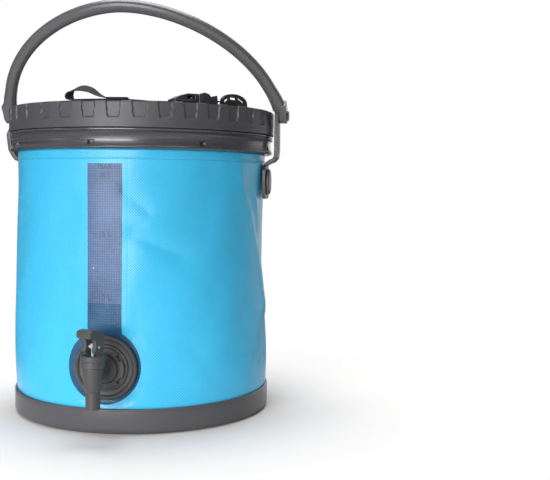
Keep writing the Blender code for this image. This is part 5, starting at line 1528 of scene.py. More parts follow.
@dataclass
class Lid(Assembly):
    """The turn-lock lid.

    Attributes:
        notch_count: Number of grip pockets.
        notch_phase: Their turn from the tap, in degrees.
        notch_half: Half their width at the foot and at the top.
        notch_height: Their height.
        notch_depth: Their depth.
        notch_edges: Width of their round edges, and softness of their corners.
        wall: Thickness of the skirt.
        rim: Width of the flat rim.
        slope: Width of the slope between the rim and the disc.
        edge: Radius of the skirt's round edges.
        columns: Columns of the skirt.
        disc_wall: Thickness of the disc.
        disc_grid: Rings and spokes of the disc's surface.
        neck_hole: Radius of the hole for the filler neck.
        gasket: Inner and outer radius of the gasket.
        boss: Radius, height and edge of the boss round the dome and the vent.
        boss_well: The same of the well in it.
        recess_turn: The finger recess's turn, in degrees.
        recess_half: Half its length and width.
        recess_well: Radius of the round well in its middle.
        recess_depth: Its depth, and width of its round edge.
        ports: Distance from the axis and azimuth of each thing on the disc.
    """

    notch_count: int = 36
    notch_phase: float = 3.4
    notch_half: Pair = (6.9 * MM, 8.3 * MM)
    notch_height: float = 18.4 * MM
    notch_depth: float = 1.6 * MM
    notch_edges: Pair = (0.9 * MM, 1.8 * MM)
    wall: float = 2.6 * MM
    rim: float = 13.5 * MM
    slope: float = 3.5 * MM
    edge: float = 1.9 * MM
    columns: int = 1260
    disc_wall: float = 2.4 * MM
    disc_grid: tuple[int, int] = (124, 600)
    neck_hole: float = 21.6 * MM
    gasket: Pair = (147.9 * MM, 154.7 * MM)
    boss: Triple = (23.0 * MM, 2.0 * MM, 1.6 * MM)
    boss_well: Triple = (15.5 * MM, -0.5 * MM, 1.2 * MM)
    recess_turn: float = -116.0
    recess_half: Pair = (29.0 * MM, 8.5 * MM)
    recess_well: float = 14.0 * MM
    recess_depth: Pair = (10.8 * MM, 1.5 * MM)
    ports: dict[str, Pair] = field(default_factory=lambda: {
        "dome": (48.0 * MM, -24.0), "vent": (89.0 * MM, 146.0), "cap": (88.0 * MM, 74.0),
        "recess": (67.0 * MM, -137.0)})

    def build(self) -> None:
        """Build the lid with its ports."""
        low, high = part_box("lid")
        top = low.z + RIM_HEIGHT
        disc = top - DISH_DROP
        self.build_skirt(high.x, low.z, top)
        self.build_disc(high.x - self.rim - self.slope, disc)
        FillerCap(self.shop, self.ports["cap"]).build(disc)
        self.build_valves()
        near, far = self.gasket
        low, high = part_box("lid_gasket")
        ring = [(near, low.z), (far, low.z), (far, high.z), (near, high.z)]
        self.shop.shell("lid_gasket_ring", [lathe(rounded(ring, 1.0 * MM), 180)], Finish.RUBBER,
                        Slot.RUBBER, Body.LID, ("lid_gasket",))

    def build_skirt(self, radius: float, foot: float, top: float) -> None:
        """Build the rim and the notched skirt, an outline turned round the axis.

        Args:
            radius: The lid's radius.
            foot: The skirt's foot.
            top: The rim's height.
        """
        inner, rim_inner = radius - self.wall, radius - self.rim
        disc_edge, disc = rim_inner - self.slope, top - DISH_DROP
        outline = [(disc_edge - 1.5 * MM, disc), (disc_edge, disc), (rim_inner, top), (radius, top),
                   (radius, foot + 2.2 * MM), (radius, foot), (inner, foot), (inner, top - self.wall),
                   (rim_inner - 1.2 * MM, top - self.wall), (disc_edge - 1.5 * MM, disc - self.wall)]
        profile = spaced(rounded(outline, self.edge, True, 5), 0.75 * MM, True)
        count = np.arange(len(profile))
        hidden = (profile[:, 0] < radius - 1.0 * MM) & (count % 5 != 0)
        near_edge = (profile[:, 1] > top - 2.5 * MM) & (profile[:, 0] > rim_inner - 1 * MM)
        profile = profile[~hidden | (near_edge & (count % 2 == 0))]
        face = (profile[:, :1] > radius - 1.4 * MM) * 1.0
        notch_foot = top - self.notch_height

        def notches(azimuth: Array, height: Array) -> Array:
            """The grip pockets: their depth, eased in over their edge, and wider toward the top.

            Args:
                azimuth: Azimuths in degrees.
                height: Heights.

            Returns:
                The change of the radius.
            """
            turn = wrapped(azimuth - TAP_AZIMUTH - self.notch_phase, 360.0 / self.notch_count)
            share = np.clip((height - notch_foot) / self.notch_height, 0.0, 1.0)
            half = self.notch_half[0] + (self.notch_half[1] - self.notch_half[0]) * share
            side = half - np.abs(np.radians(turn) * radius)
            inside = soft_min(side, height - notch_foot, self.notch_edges[1])
            return -self.notch_depth * smoothstep(inside / self.notch_edges[0]) * face

        self.shop.shell("lid_skirt", [lathe(profile, self.columns, True, notches)], Finish.LID,
                        Slot.CHARCOAL, Body.LID, ("lid",))

    def recess(self, x: Array, y: Array) -> Array:
        """The finger recess: the deeper of a lens, where two circles overlap, and a round well.

        Args:
            x: Places across.
            y: Places along.

        Returns:
            The recess's depth.
        """
        spot = polar(*self.ports["recess"])
        lean = math.radians(self.recess_turn)
        along = (x - spot.x) * math.cos(lean) + (y - spot.y) * math.sin(lean)
        across = -(x - spot.x) * math.sin(lean) + (y - spot.y) * math.cos(lean)
        half_length, half_width = self.recess_half
        bow = (half_length**2 + half_width**2) / (2 * half_width)
        lens = np.sqrt(np.maximum(bow**2 - along**2, 0.0)) - (bow - half_width) - np.abs(across)
        well = self.recess_well - np.hypot(along, across)
        depth, edge = self.recess_depth
        depth = depth * smoothstep(np.maximum(lens, well) / edge + 0.3)
        # The well's floor climbs toward one side, to under half of the depth.
        ramp = np.clip((across + self.recess_well) / (2 * self.recess_well), 0.0, 1.0)
        return np.where(well > lens, depth * (0.45 + 0.55 * ramp), depth)

    def build_disc(self, edge: float, height: float) -> None:
        """Build the sunk disc as a height field with its bosses and the finger recess.

        Args:
            edge: The disc's radius.
            height: Its height.
        """
        rings, spokes = self.disc_grid
        radii = np.concatenate([[0.0], np.linspace(2 * MM, edge - 1.0 * MM, rings)])[:, None]
        turn = np.radians(np.linspace(0, 360, spokes, endpoint=False))[None, :]
        x, y = radii * np.cos(turn), radii * np.sin(turn)
        level = np.full(x.shape, height)
        for port in ("dome", "vent"):
            spot = polar(*self.ports[port])
            away = np.hypot(x - spot.x, y - spot.y)
            for reach, rise, blend in (self.boss, self.boss_well):
                level += rise * smoothstep((reach - away) / blend)
        level -= self.recess(x, y)
        level += 0.12 * MM * np.sin(x * 60.0) * np.cos(y * 50.0)
        cap = polar(*self.ports["cap"])

        def keep(centres: Array) -> Array:
            """The faces that are clear of the filler neck."""
            return np.hypot(centres[:, 0] - cap.x, centres[:, 1] - cap.y) > self.neck_hole

        mesh = mesh_of("lid_disc", [Grid(np.stack([x, y, level], axis=2), False, True)], keep)
        if mesh.polygons[-1].normal.z < 0:
            mesh.flip_normals()
        made = self.shop.piece("lid_disc", mesh, Finish.LID, Slot.CHARCOAL, Body.LID)
        self.shop.thicken(made, self.disc_wall)

    def build_valves(self) -> None:
        """Build the dome valve and the vent plug, each an outline turned round its own axis."""
        low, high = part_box("dome_valve")
        foot = high.z - 5.0 * MM
        outline = [(0.0, low.z), (4.6 * MM, low.z), (7.0 * MM, low.z + 2.4 * MM),
                   (4.6 * MM, low.z + 2.4 * MM), (4.6 * MM, foot), (13.5 * MM, foot)]
        outline += [(13.5 * MM * math.cos(turn), foot + 0.8 * MM + 4.2 * MM * math.sin(turn))
                    for turn in np.radians(np.linspace(8, 86, 9))]
        outline += [(0.0, high.z)]
        grid = lathe(rounded(outline, 0.4 * MM, False, 3), 72, False)
        place = Matrix.Translation(polar(*self.ports["dome"]))
        self.shop.shell("dome_valve_rubber", [grid.placed(place)], Finish.LUG, Slot.RUBBER, Body.LID,
                        ("dome_valve",))
        low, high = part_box("vent_plug")
        foot = high.z - 5.0 * MM
        outline = [(0.0, low.z), (9.0 * MM, low.z), (10.0 * MM, low.z + 2.4 * MM),
                   (9.0 * MM, low.z + 2.4 * MM), (9.0 * MM, foot), (12.8 * MM, foot),
                   (13.5 * MM, foot + 0.8 * MM), (13.5 * MM, high.z - 1.0 * MM),
                   (12.6 * MM, high.z), (10.4 * MM, high.z), (9.4 * MM, high.z - 1.3 * MM),
                   (0.0, high.z - 1.0 * MM)]
        grid = lathe(rounded(outline, 0.5 * MM, False, 3), 96, False)
        place = Matrix.Translation(polar(*self.ports["vent"]))
        self.shop.shell("vent_plug_button", [grid.placed(place)], Finish.BUTTON, Slot.MID_GREY,
                        Body.VENT, ("vent_plug",))


@dataclass
class FillerCap(Assembly):
    """The filler neck, its screw cap, the cap's seal and its tether.

    Attributes:
        spot: The neck's distance from the carrier's axis and its azimuth.
        neck: Inner and outer radius of the neck.
        neck_wall: How far the neck reaches down from the disc.
        thread: Rise of the neck's thread in one turn, and its depth.
        radius: The cap's radius at its foot.
        inner: Radius of its inside.
        side_step: How far its fluted side lies within the foot.
        dish: How far the dish lies below the cap's top.
        roof: Thickness under the dish.
        fluting: Number of flutes in half a turn, and their depth.
        bars: The grip bar and the low ribs across the dish: half length, half width, corner, rise
            and edge in millimetres, and turn in degrees.
        tether: How far its held ends lie from its foot and top, which are not used, and the width of its
            round edges.
        columns: Columns of the cap.
    """

    spot: Pair
    neck: Pair = (21.0 * MM, 24.5 * MM)
    neck_wall: float = 2.4 * MM
    thread: Pair = (4.0 * MM, 0.5 * MM)
    radius: float = 30.2 * MM
    inner: float = 25.0 * MM
    side_step: float = 0.9 * MM
    dish: float = 7.0 * MM
    roof: float = 2.5 * MM
    fluting: Pair = (24.0, 0.5 * MM)
    bars: tuple[Sequence[float], ...] = (
        (23.9, 2.6, 0.8, 6.0, 0.7, 0.0), (23.9, 0.9, 0.5, 2.4, 0.4, 45.0),
        (23.9, 0.9, 0.5, 2.4, 0.4, 135.0))
    tether: Triple = (2.2 * MM, 2.0 * MM, 0.4 * MM)
    columns: int = 432

    def build(self, disc: float) -> None:
        """Build the neck and all that goes on it.

        Args:
            disc: The disc's height.
        """
        self.build_neck(disc)
        self.build_cap()
        self.shop.softened("filler_cap_liner", "filler_cap_seal", Finish.RUBBER, Slot.RUBBER, Body.CAP,
                           0.3 * MM)
        self.build_tether()

    def build_neck(self, disc: float) -> None:
        """Build the threaded neck, an outline turned round the neck's axis.

        Args:
            disc: The disc's height.
        """
        near, far = self.neck
        foot, top = disc - self.neck_wall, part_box("filler_cap_seal")[0].z - 0.3 * MM
        outline = [(near, foot), (far, foot), (far, top), (near, top)]
        profile = spaced(rounded(outline, 0.7 * MM), 0.8 * MM, True)
        outside = (profile[:, :1] > far - 1.5 * MM) * 1.0

        def threads(azimuth: Array, height: Array) -> Array:
            """The thread: a cosine wave that climbs by its pitch in each turn.

            Args:
                azimuth: Azimuths in degrees.
                height: Heights.

            Returns:
                The change of the radius.
            """
            phase = (height - disc) / self.thread[0] - azimuth / 360.0
            shown = smoothstep((height - disc - 3 * MM) / (1 * MM)) * outside
            return -self.thread[1] * (0.5 + 0.5 * np.cos(2 * math.pi * phase)) * shown

        place = Matrix.Translation(polar(*self.spot))
        self.shop.shell("filler_neck", [lathe(profile, 120, True, threads).placed(place)], Finish.LID,
                        Slot.CHARCOAL, Body.LID)

    def build_cap(self) -> None:
        """Build the cap: a fluted, dished outline turned round its axis, and bars across the dish."""
        low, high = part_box("filler_cap")
        foot, top = low.z, high.z
        side, dish = self.radius - self.side_step, top - self.dish
        outline = [(0.0, dish - self.roof), (self.inner, dish - self.roof), (self.inner, foot),
                   (self.radius, foot), (self.radius, foot + 2.6 * MM), (side, foot + 3.0 * MM),
                   (side, top - 2.2 * MM), (self.radius - 3.0 * MM, top), (25.2 * MM, top),
                   (24.4 * MM, top - 1.4 * MM), (24.4 * MM, dish), (0.0, dish)]
        profile = spaced(rounded(outline, 0.9 * MM, False, 4), 1.6 * MM)
        outside = profile[:, :1] > self.radius - 2.2 * MM

        def flutes(azimuth: Array, height: Array) -> Array:
            """The flutes: their depth times one less the size of a sine round the cap.

            Args:
                azimuth: Azimuths in degrees.
                height: Heights.

            Returns:
                The change of the radius.
            """
            wave = np.abs(np.sin(np.radians(azimuth) * self.fluting[0]))
            shown = smoothstep((height - foot - 3.2 * MM) / (1 * MM))
            shown = shown * smoothstep((top - 2.2 * MM - height) / (1.5 * MM)) * outside
            return -self.fluting[1] * (1 - wave) * shown

        place = Matrix.Translation(polar(*self.spot))
        grids = [lathe(profile, self.columns, False, flutes).placed(place)]
        for length, width, corner, rise, edge, turn in self.bars:
            outline = rounded(rectangle(length * MM, width * MM), corner * MM)
            bar = slab(outline, dish - 0.5 * MM, dish + rise * MM, edge * MM)
            spin = Matrix.Rotation(math.radians(TAP_AZIMUTH + turn), 4, "Z")
            grids.append(bar.placed(place @ spin))
        self.shop.shell("filler_cap_shell", grids, Finish.CAP, Slot.BLACK, Body.CAP, ("filler_cap",))

    def build_tether(self) -> None:
        """Build the tether from the frame's node, with round edges."""
        mesh = self.shop.merged("cap_tether_strap", "cap_tether", self.tether[2])
        mesh.set_sharp_from_angle(angle=SHARP_ANGLE)
        made = bpy.data.objects.new("cap_tether_strap", mesh)
        bpy.context.collection.objects.link(made)
        mesh.materials.clear()
        mesh.materials.append(self.shop.wardrobe.get(Finish.CAP.value))
        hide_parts("cap_tether")
        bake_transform(made)
        LOG.info("cap_tether_strap: %d faces", len(mesh.polygons))


@dataclass
class CarryGear(Assembly):
    """The lugs and the bail.

    Attributes:
        lean: The bail's lean toward the tap, in degrees.
        half_span: Half the bail's width.
        reach: Its height over the pivots.
        roundness: The power of its superellipse.
        half_width: Half the grip's size in the bail's plane.
        half_depth: Half its size square to that plane.
        squareness: The power of its section.
        start: Height of its feet over the pivots.
        foot_half: Half its width at the feet.
        foot_inside: Distance of a foot's inner face from the middle.
        foot_run: Height over which the feet become the grip.
        seam: Depth of the grip's seams as a share of its size, and in radians their turn from the
            middle of a face and their width.
        seam_start: Where they start, as a share of the reach, and how long they take to come in.
        eye: Radius of the eyes, and half the width of their necks.
        eye_span: Distance of an eye's faces from the middle.
        pivot_height: Height of the pivots.
        grid: Sections along the bail, and points round each.
    """

    lean: float = 41.7
    half_span: float = 168.0 * MM
    reach: float = 153.0 * MM
    roundness: float = 1.83
    half_width: float = 7.2 * MM
    half_depth: float = 6.5 * MM
    squareness: float = 2.35
    start: float = 10.1 * MM
    foot_half: float = 8.2 * MM
    foot_inside: float = 161.2 * MM
    foot_run: float = 34.0 * MM
    seam: Triple = (0.045, 0.62, 0.07)
    seam_start: Pair = (0.16, 6.0 * MM)
    eye: Pair = (9.0 * MM, 6.0 * MM)
    eye_span: Pair = (169.0 * MM, 178.0 * MM)
    pivot_height: float = 357.0 * MM
    grid: tuple[int, int] = (320, 56)

    def build(self) -> None:
        """Build the lugs, the pins and the bail."""
        for side in ("left", "right"):
            for node, finish, slot, edge in (("lug_arm", Finish.LUG, Slot.CHARCOAL, 1.0),
                                             ("anchor_button", Finish.BUTTON, Slot.MID_GREY, 0.9),
                                             ("pivot_pin", Finish.LUG, Slot.CHARCOAL, 0.5)):
                self.shop.softened(f"{node}_{side}_shell", f"{node}_{side}", finish, slot, Body.COLLAR,
                                   edge * MM)
        self.build_bail()

    def build_bail(self) -> None:
        """Build the bail: an oval grip with shallow seams, and an eye at each foot.

        Its line is a superellipse: the half span times a cosine and the reach times a sine, each to
        the power of 2 over the roundness. Toward the feet it is drawn out beside the lid. Each seam
        is a dip of e to the minus of the square of the distance over the width."""
        first = math.asin((self.start / self.reach)**(self.roundness / 2))
        angle = np.linspace(first, math.pi - first, self.grid[0])
        across = self.half_span * np.sign(np.cos(angle)) * np.abs(np.cos(angle))**(2 / self.roundness)
        up = self.reach * np.abs(np.sin(angle))**(2 / self.roundness)
        foot = 1 - smoothstep((up - self.start) / self.foot_run)
        outward = self.foot_inside + self.foot_half - abs(across[0])
        across = across + np.sign(across) * foot * outward
        line = np.stack([across, np.zeros_like(across), up], axis=1)
        along = np.gradient(line, axis=0)
        along /= np.linalg.norm(along, axis=1)[:, None]
        along[0], along[-1] = (0, 0, 1), (0, 0, -1)
        side = np.stack([along[:, 2], np.zeros_like(across), -along[:, 0]], axis=1)
        width = self.half_width + (self.foot_half - self.half_width) * foot
        x, y = oval(1.0, 1.0, self.grid[1], self.squareness).T
        turn = np.linspace(0, 2 * math.pi, self.grid[1], endpoint=False)
        seam = np.ones_like(turn)
        for middle in (math.pi / 2, 3 * math.pi / 2):
            away = (np.abs(turn - middle) - self.seam[1]) / self.seam[2]
            seam = seam * (1 - self.seam[0] * np.exp(-away**2))
        grip = smoothstep((up - self.seam_start[0] * self.reach) / self.seam_start[1])
        seam = 1 - (1 - seam)[None, :] * grip[:, None]
        out = (width[:, None] * x[None, :] * seam)[..., None]
        deep = (self.half_depth * y[None, :] * seam)[..., None]
        points = line[:, None] + side[:, None] * out + np.array([0.0, 1.0, 0.0]) * deep
        grids = [Grid(with_ends(points), False, True), *self.eyes()]
        place = Matrix.Translation((0, 0, self.pivot_height)) @ Matrix.Rotation(
            math.radians(LUG_AZIMUTH), 4, "Z") @ Matrix.Rotation(math.radians(self.lean), 4, "X")
        self.shop.shell("bail_grip", [grid.placed(place) for grid in grids], Finish.BAIL, Slot.CHARCOAL,
                        Body.BAIL, ("bail",))

    def eyes(self) -> list[Grid]:
        """The bail's eyes: a half round below the pivot and a neck up to the foot.

        Returns:
            The eyes, in the bail's own frame.
        """
        radius, neck = self.eye
        outline = [(radius * math.cos(turn), radius * math.sin(turn))
                   for turn in np.radians(np.linspace(180, 360, 13))]
        outline += [(neck, self.start + radius), (-neck, self.start + radius)]
        outline = spaced(rounded(outline, 1.2 * MM, True, 3), 1.5 * MM, True)
        tab = slab(outline, *self.eye_span, 0.9 * MM)
        return [tab.placed(Matrix(((0, 0, sign, 0), (sign, 0, 0, 0), (0, 1, 0, 0), (0, 0, 0, 1))))
                for sign in (1.0, -1.0)]


@dataclass
class Tap(Assembly):
    """The lever tap. Its outlines are in millimetres.

    Attributes:
        barrel: Distance of its barrel from the carrier's axis.
        spacing: Greatest distance between an outline's points.
    """

    barrel: float = 198.5 * MM
    spacing: float = 1.2 * MM

    def turned(self, place: Matrix, outline: Sequence[Pair], radius: float,
               columns: int = 96, closed: bool = True) -> Grid:
        """Turn an outline of (radius, distance along) round an axis.

        Args:
            place: Where the axis stands.
            outline: The outline's corners.
            radius: The rounding of its corners, in millimetres.
            columns: Columns of the surface.
            closed: Whether the outline is closed.

        Returns:
            The surface.
        """
        profile = spaced(rounded(np.array(outline) * MM, radius * MM, closed), self.spacing, closed)
        return lathe(profile, columns, closed).placed(place)

    def build(self) -> None:
        """Build the tap, part by part from the wall outward and from the barrel up."""
        shank = facing(TAP_AZIMUTH, TAP_HEIGHT)
        upright = Matrix.Translation(polar(self.barrel, TAP_AZIMUTH))
        flange = [(10.4, 133.4), (12.6, 133.4), (12.6, 151.5), (34.4, 151.5), (34.4, 156.2),
                  (32.5, 157.5), (30.7, 156.4), (29.7, 154.9), (25.6, 154.6), (24.8, 157.2),
                  (23.8, 157.3), (10.4, 157.3)]
        self.shop.shell("tap_flange_plate", [self.turned(shank, flange, 0.6, 160)], Finish.TAP, Slot.TAP,
                        Body.TAP, ("tap_flange",))
        self.shop.softened("tap_gasket_ring", "tap_gasket", Finish.RUBBER, Slot.RUBBER, Body.TAP, 0.3 * MM)
        self.shop.softened("tap_washer_ring", "tap_backing_washer", Finish.RUBBER, Slot.RUBBER, Body.TAP,
                           0.3 * MM)
        self.shop.softened("tap_nut", "tap_backing_nut", Finish.TAP, Slot.TAP, Body.TAP, 0.8 * MM)
        self.shop.softened("tap_lock_ring", "tap_lock_collar", Finish.TAP, Slot.TAP, Body.TAP, 0.45 * MM)
        neck = [(0.0, 151.5), (9.9, 151.5), (9.9, 162.6), (15.0, 162.6), (15.0, 164.4), (13.6, 165.4),
                (12.2, 165.6), (11.8, 167.0), (9.6, 167.4), (7.4, 176.0), (6.1, 187.0), (6.1, 198.5),
                (0.0, 198.5)]
        barrel = [(5.2, 39.0), (7.2, 39.0), (7.6, 39.5), (7.6, 57.6), (8.9, 59.4), (9.2, 62.0),
                  (10.85, 81.9), (10.6, 82.4), (10.4, 89.4), (7.2, 89.4), (7.2, 61.0), (5.2, 60.6)]
        grids = [self.turned(shank, neck, 0.6, closed=False), self.turned(upright, barrel, 0.5)]
        self.shop.shell("tap_body_shell", grids, Finish.TAP, Slot.TAP, Body.TAP, ("tap_body",))
        bonnet = [(10.95, 82.7), (11.9, 82.7), (12.55, 83.4), (12.55, 88.6), (12.1, 89.1), (12.1, 90.1),
                  (12.55, 90.6), (12.55, 94.9), (11.8, 95.9), (10.6, 95.9), (10.2, 95.0), (9.0, 95.0),
                  (8.7, 95.6), (7.5, 95.6), (7.1, 95.0), (4.1, 95.0), (4.1, 92.7), (10.95, 92.7)]
        self.shop.shell("tap_bonnet_ring", [self.turned(upright, bonnet, 0.35)], Finish.TAP, Slot.TAP,
                        Body.TAP, ("tap_bonnet",))
        low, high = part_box("tap_stem")
        foot, top = low.z / MM, high.z / MM
        stem = [(0.0, foot), (6.5, foot), (6.5, foot + 5.0), (2.3, foot + 7.2), (1.7, foot + 9.0),
                (1.5, top - 6.4), (2.6, top - 4.6), (2.9, top - 2.4), (2.0, top - 0.2), (0.0, top)]
        self.shop.shell("tap_stem_rod", [self.turned(upright, stem, 0.6, 48, False)], Finish.STEM,
                        Slot.STEM, Body.STEM, ("tap_stem",))
        self.shop.softened("tap_valve_disc", "tap_valve_seal", Finish.RUBBER, Slot.RUBBER, Body.STEM,
                           0.2 * MM)
        self.shop.softened("tap_lever_pad", "tap_lever", Finish.TAP, Slot.TAP, Body.LEVER, 1.0 * MM)
        self.shop.softened("tap_lever_axle", "tap_lever_pin", Finish.STEM, Slot.STEM, Body.LEVER, 0.3 * MM)


@dataclass
class Strap(Assembly):
    """The webbing and its buckle on the lid.

    Attributes:
        half_width: Half the webbing's width.
        half_thick: Half its thickness.
        radius: Radius of its route on the rim.
        inner_radius: Radius of its route in the dish.
        gap: Gap under the webbing.
        tail: How far the webbing's tail lies over it.
        loop: Height of the loop.
        end_turn: Azimuth of the buckle, in degrees.
        end_radius: Distance of the short webbing from the carrier's axis.
        end_span: Its start and end beside the buckle's middle.
    """

    half_width: float = 7.5 * MM
    half_thick: float = 0.65 * MM
    radius: float = 151.0 * MM
    inner_radius: float = 133.5 * MM
    gap: float = 0.3 * MM
    tail: float = 1.7 * MM
    loop: float = 13.6 * MM
    end_turn: float = -73.0
    end_radius: float = 143.0 * MM
    end_span: Pair = (29.3 * MM, 41.0 * MM)

    def section(self) -> Array:
        """The webbing's section: an oval so square that its edges are only just round."""
        return oval(self.half_width, self.half_thick, 40, 7.0)

    def build(self) -> None:
        """Build the webbing, carried along a smooth line through its route, and the hardware."""
        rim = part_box("lid")[0].z + RIM_HEIGHT
        flat = self.gap + self.half_thick
        tail, sunk = flat + self.tail, flat - DISH_DROP
        out, inner, top = self.radius, self.inner_radius, self.loop
        # Each point: azimuth, radius, height over the rim, and the webbing's lean.
        route = [(-78.0, inner, sunk, 0.0), (-82.5, inner, sunk, 0.0), (-87.5, inner, flat, 0.0),
                 (-93.5, (inner + out) / 2, flat, 0.0), (-99.5, out, flat, 0.0),
                 (-110.0, out, flat, 0.0), (-119.6, out, flat, 0.0), (-122.0, out, 0.32 * top, 6.0),
                 (-120.9, out, 0.78 * top, 18.0), (-117.0, out, top, 26.0),
                 (-112.6, out, 0.86 * top, 22.0), (-108.4, out, 0.42 * top, 8.0),
                 (-104.6, out, tail, 0.0), (-99.8, out, tail, 0.0), (-96.4, out, tail, 0.0)]
        line = catmull_rom(route, 14)
        turn, lean = np.radians(line[:, 0]), np.radians(line[:, 3:])
        outward = np.stack([np.cos(turn), np.sin(turn), np.zeros(len(turn))], axis=1)
        upward = np.array([0, 0, 1.0])
        centres = outward * line[:, 1:2] + upward * (rim + line[:, 2:3])
        across = outward * np.cos(lean) - upward * np.sin(lean)
        band = self.shop.shell("strap_webbing_band", [swept(centres, across, self.section())],
                               Finish.WEBBING, Slot.WEBBING, Body.LID, ("strap_webbing",))
        self.build_end()
        for node, body, edge in (("buckle_socket", Body.LID, 0.8), ("buckle_plug", Body.PLUG, 0.8),
                                 ("strap_keeper", Body.PLUG, 0.6), ("strap_adjuster", Body.PLUG, 0.8)):
            self.shop.softened(node + "_shell", node, Finish.BUCKLE, Slot.BLACK, body, edge * MM)

    def build_end(self) -> None:
        """Build the short webbing behind the buckle's plug."""
        turn = math.radians(self.end_turn)
        out = np.array([math.cos(turn), math.sin(turn), 0.0])
        way = np.array([-out[1], out[0], 0.0])
        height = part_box("strap_end")[0].z + self.half_thick
        start, end = self.end_span
        line = out * self.end_radius + way * np.linspace(start, end, 14)[:, None]
        line = line + np.array([0, 0, 1.0]) * height
        across = np.broadcast_to(out, line.shape)
        band = self.shop.shell("strap_end_band", [swept(line, across, self.section())], Finish.WEBBING,
                               Slot.WEBBING, Body.PLUG, ("strap_end",))


@dataclass(frozen=True)
class Lamp:
    """A soft light.

    Attributes:
        name: Its name.
        place: Where it stands.
        target: Where it points.
        size: Its width and height.
        power: Its power in watts.
    """

    name: str
    place: Sequence[float]
    target: Sequence[float]
    size: Pair
    power: float

    def build(self) -> None:
        """Add the light, aimed at its target and hidden from the camera."""
        data = bpy.data.lights.new(self.name, "AREA")
        data.shape = "RECTANGLE"
        data.size, data.size_y = self.size
        data.energy = self.power
        lamp = bpy.data.objects.new(self.name, data)
        bpy.context.collection.objects.link(lamp)
        lamp.location = self.place
        aim = Vector(self.target) - Vector(self.place)
        lamp.rotation_mode = "QUATERNION"
        lamp.rotation_quaternion = aim.to_track_quat("-Z", "Y")
        lamp.visible_camera = False


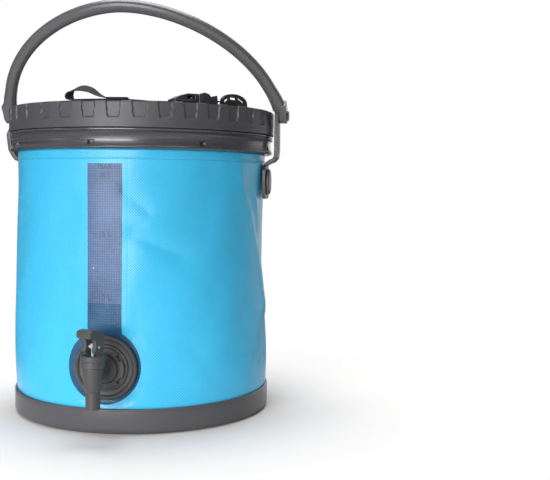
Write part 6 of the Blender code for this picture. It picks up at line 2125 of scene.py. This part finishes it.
@dataclass
class Studio:
    """The floor, the lights and the camera.

    Attributes:
        focal_pixels: Focal length in pixels of the photograph.
        width_pixels: Width of the photograph.
        distance: The camera's distance from the carrier's axis.
        height: The camera's height.
        yaw: Its turn to the right, in degrees.
        pitch: Its tilt, in radians.
        roll: Its roll, in radians.
        floor_tone: The floor's colour.
        floor_fade: Where the floor starts and ends to fade into the surround.
        surround: Strength of the surround as light.
        white_fields: The fields that reflections see white, each as steps: a direction, and how
            far along it a ray has to point for the white to start and to be full.
        lamps: The lamps.
    """

    focal_pixels: float = 902.499
    width_pixels: float = 550.0
    distance: float = 1.13237
    height: float = 0.26845
    yaw: float = 8.28
    pitch: float = -0.056
    roll: float = 0.01
    floor_tone: Colour = (0.9, 0.87, 0.85)
    floor_fade: Pair = (0.16, 0.5)
    surround: float = 0.12
    white_fields: tuple[tuple[tuple[Sequence[float], float, float], ...], ...] = (
        (((0.5, 0.866, 0.0), 0.6, 0.8), ((0.0, 0.0, 1.0), -0.2, -0.05)),
        (((0.0, -0.5, -0.866), 0.5, 0.66),))
    lamps: tuple[Lamp, ...] = (
        Lamp("key", (-0.92, -1.87, 0.5), (-0.02, 0.0, 0.15), (1.3, 0.8), 44.0),
        Lamp("left", (-1.7, -0.5, 0.45), (0.0, 0.0, 0.3), (0.3, 1.1), 2.0),
        Lamp("back", (0.85, 1.5, 0.8), (0.1, 0.0, 0.35), (1.3, 1.0), 2.0),
        Lamp("top", (0.0, 0.2, 1.8), (0.0, 0.0, 0.2), (1.2, 1.2), 34.0))

    def build(self) -> None:
        """Build the stage."""
        self.build_floor()
        self.build_world()
        self.build_camera()
        for lamp in self.lamps:
            lamp.build()

    def build_floor(self) -> None:
        """Build the pale floor."""
        mesh = bpy.data.meshes.new("floor")
        mesh.from_pydata([(-8, -6, 0), (8, -6, 0), (8, 10, 0), (-8, 10, 0)], [], [(0, 1, 2, 3)])
        floor = bpy.data.objects.new("floor", mesh)
        bpy.context.collection.objects.link(floor)
        graph = Graph("floor_paper")
        tone = graph.fit(graph.noise(2.0, 2.0), 0.01, 0.995)
        where = graph.node("TexCoord").outputs["Object"]
        away = graph.node("VectorMath", {0: where}, operation="LENGTH").outputs["Value"]
        seen = graph.minus(1.0, graph.step(away, *self.floor_fade))
        seen = graph.math("MAXIMUM", seen, graph.node("LightPath").outputs["Is Diffuse Ray"])
        graph.connect(Base_Color=graph.scaled(self.floor_tone, tone), Roughness=0.9, Alpha=seen)
        mesh.materials.append(graph.material)

    def build_world(self) -> None:
        """Build the surround: plain white to the eye, and white in reflections where it faces them.

        A field is white where the ray's direction, taken along each of the field's directions,
        has risen past its step.
        """
        world = bpy.data.worlds.new("surround")
        bpy.context.scene.world = world
        world.use_nodes = True
        tree = world.node_tree
        tree.nodes.clear()
        node = partial(add_node, tree)
        path = node("LightPath").outputs
        direction = node("TexCoord").outputs["Generated"]
        white = 0.0
        for steps in self.white_fields:
            near = 1.0
            for along, low, high in steps:
                part = node("VectorMath", {0: direction, 1: along}, operation="DOT_PRODUCT")
                part = node("MapRange", {"Value": part.outputs["Value"], "From Min": low,
                                         "From Max": high}, interpolation_type="SMOOTHSTEP")
                near = node("Math", {0: part.outputs[0], 1: near}, operation="MULTIPLY").outputs[0]
            white = node("Math", {0: near, 1: white}, operation="MAXIMUM").outputs[0]
        white = node("Math", {0: path["Is Glossy Ray"], 1: white}, operation="MULTIPLY").outputs[0]
        for ray in ("Is Camera Ray", "Is Transmission Ray"):
            white = node("Math", {0: path[ray], 1: white}, operation="MAXIMUM").outputs[0]
        light = node("Background", {0: (0.93, 0.96, 1.0, 1.0), 1: self.surround})
        seen = node("Background", {0: (1.0, 1.0, 1.0, 1.0), 1: 1.0})
        mix = node("MixShader", {0: white, 1: light.outputs[0], 2: seen.outputs[0]})
        node("OutputWorld", {0: mix.outputs[0]})

    def build_camera(self) -> None:
        """Stand the camera where the photograph was taken."""
        data = bpy.data.cameras.new("camera")
        data.sensor_width = 36.0
        data.lens = data.sensor_width * self.focal_pixels / self.width_pixels
        camera = bpy.data.objects.new("camera", data)
        bpy.context.collection.objects.link(camera)
        yaw = math.radians(self.yaw)
        forward = Vector((math.sin(yaw) * math.cos(self.pitch), math.cos(yaw) * math.cos(self.pitch),
                          math.sin(self.pitch)))
        right = Vector((math.cos(yaw), -math.sin(yaw), 0.0))
        up = right.cross(forward)
        level = (right * math.cos(self.roll) + up * math.sin(self.roll),
                 up * math.cos(self.roll) - right * math.sin(self.roll), -forward)
        camera.matrix_world = Matrix.Translation((0.0, -self.distance, self.height)) @ Matrix(
            level).transposed().to_4x4()
        bpy.context.scene.camera = camera


def main() -> None:
    """Dress the frame."""
    logging.basicConfig(level=logging.INFO, format="%(message)s")
    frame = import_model()
    bpy.context.scene.view_settings.view_transform = "Standard"
    shop = Workshop(frame)
    BaseTray(shop).build()
    Bag(shop).build()
    Collar(shop).build()
    Lid(shop).build()
    CarryGear(shop).build()
    Tap(shop).build()
    Strap(shop).build()
    Studio().build()
    LOG.info("%d pieces built", len(shop.built))


if __name__ == "__main__":
    main()
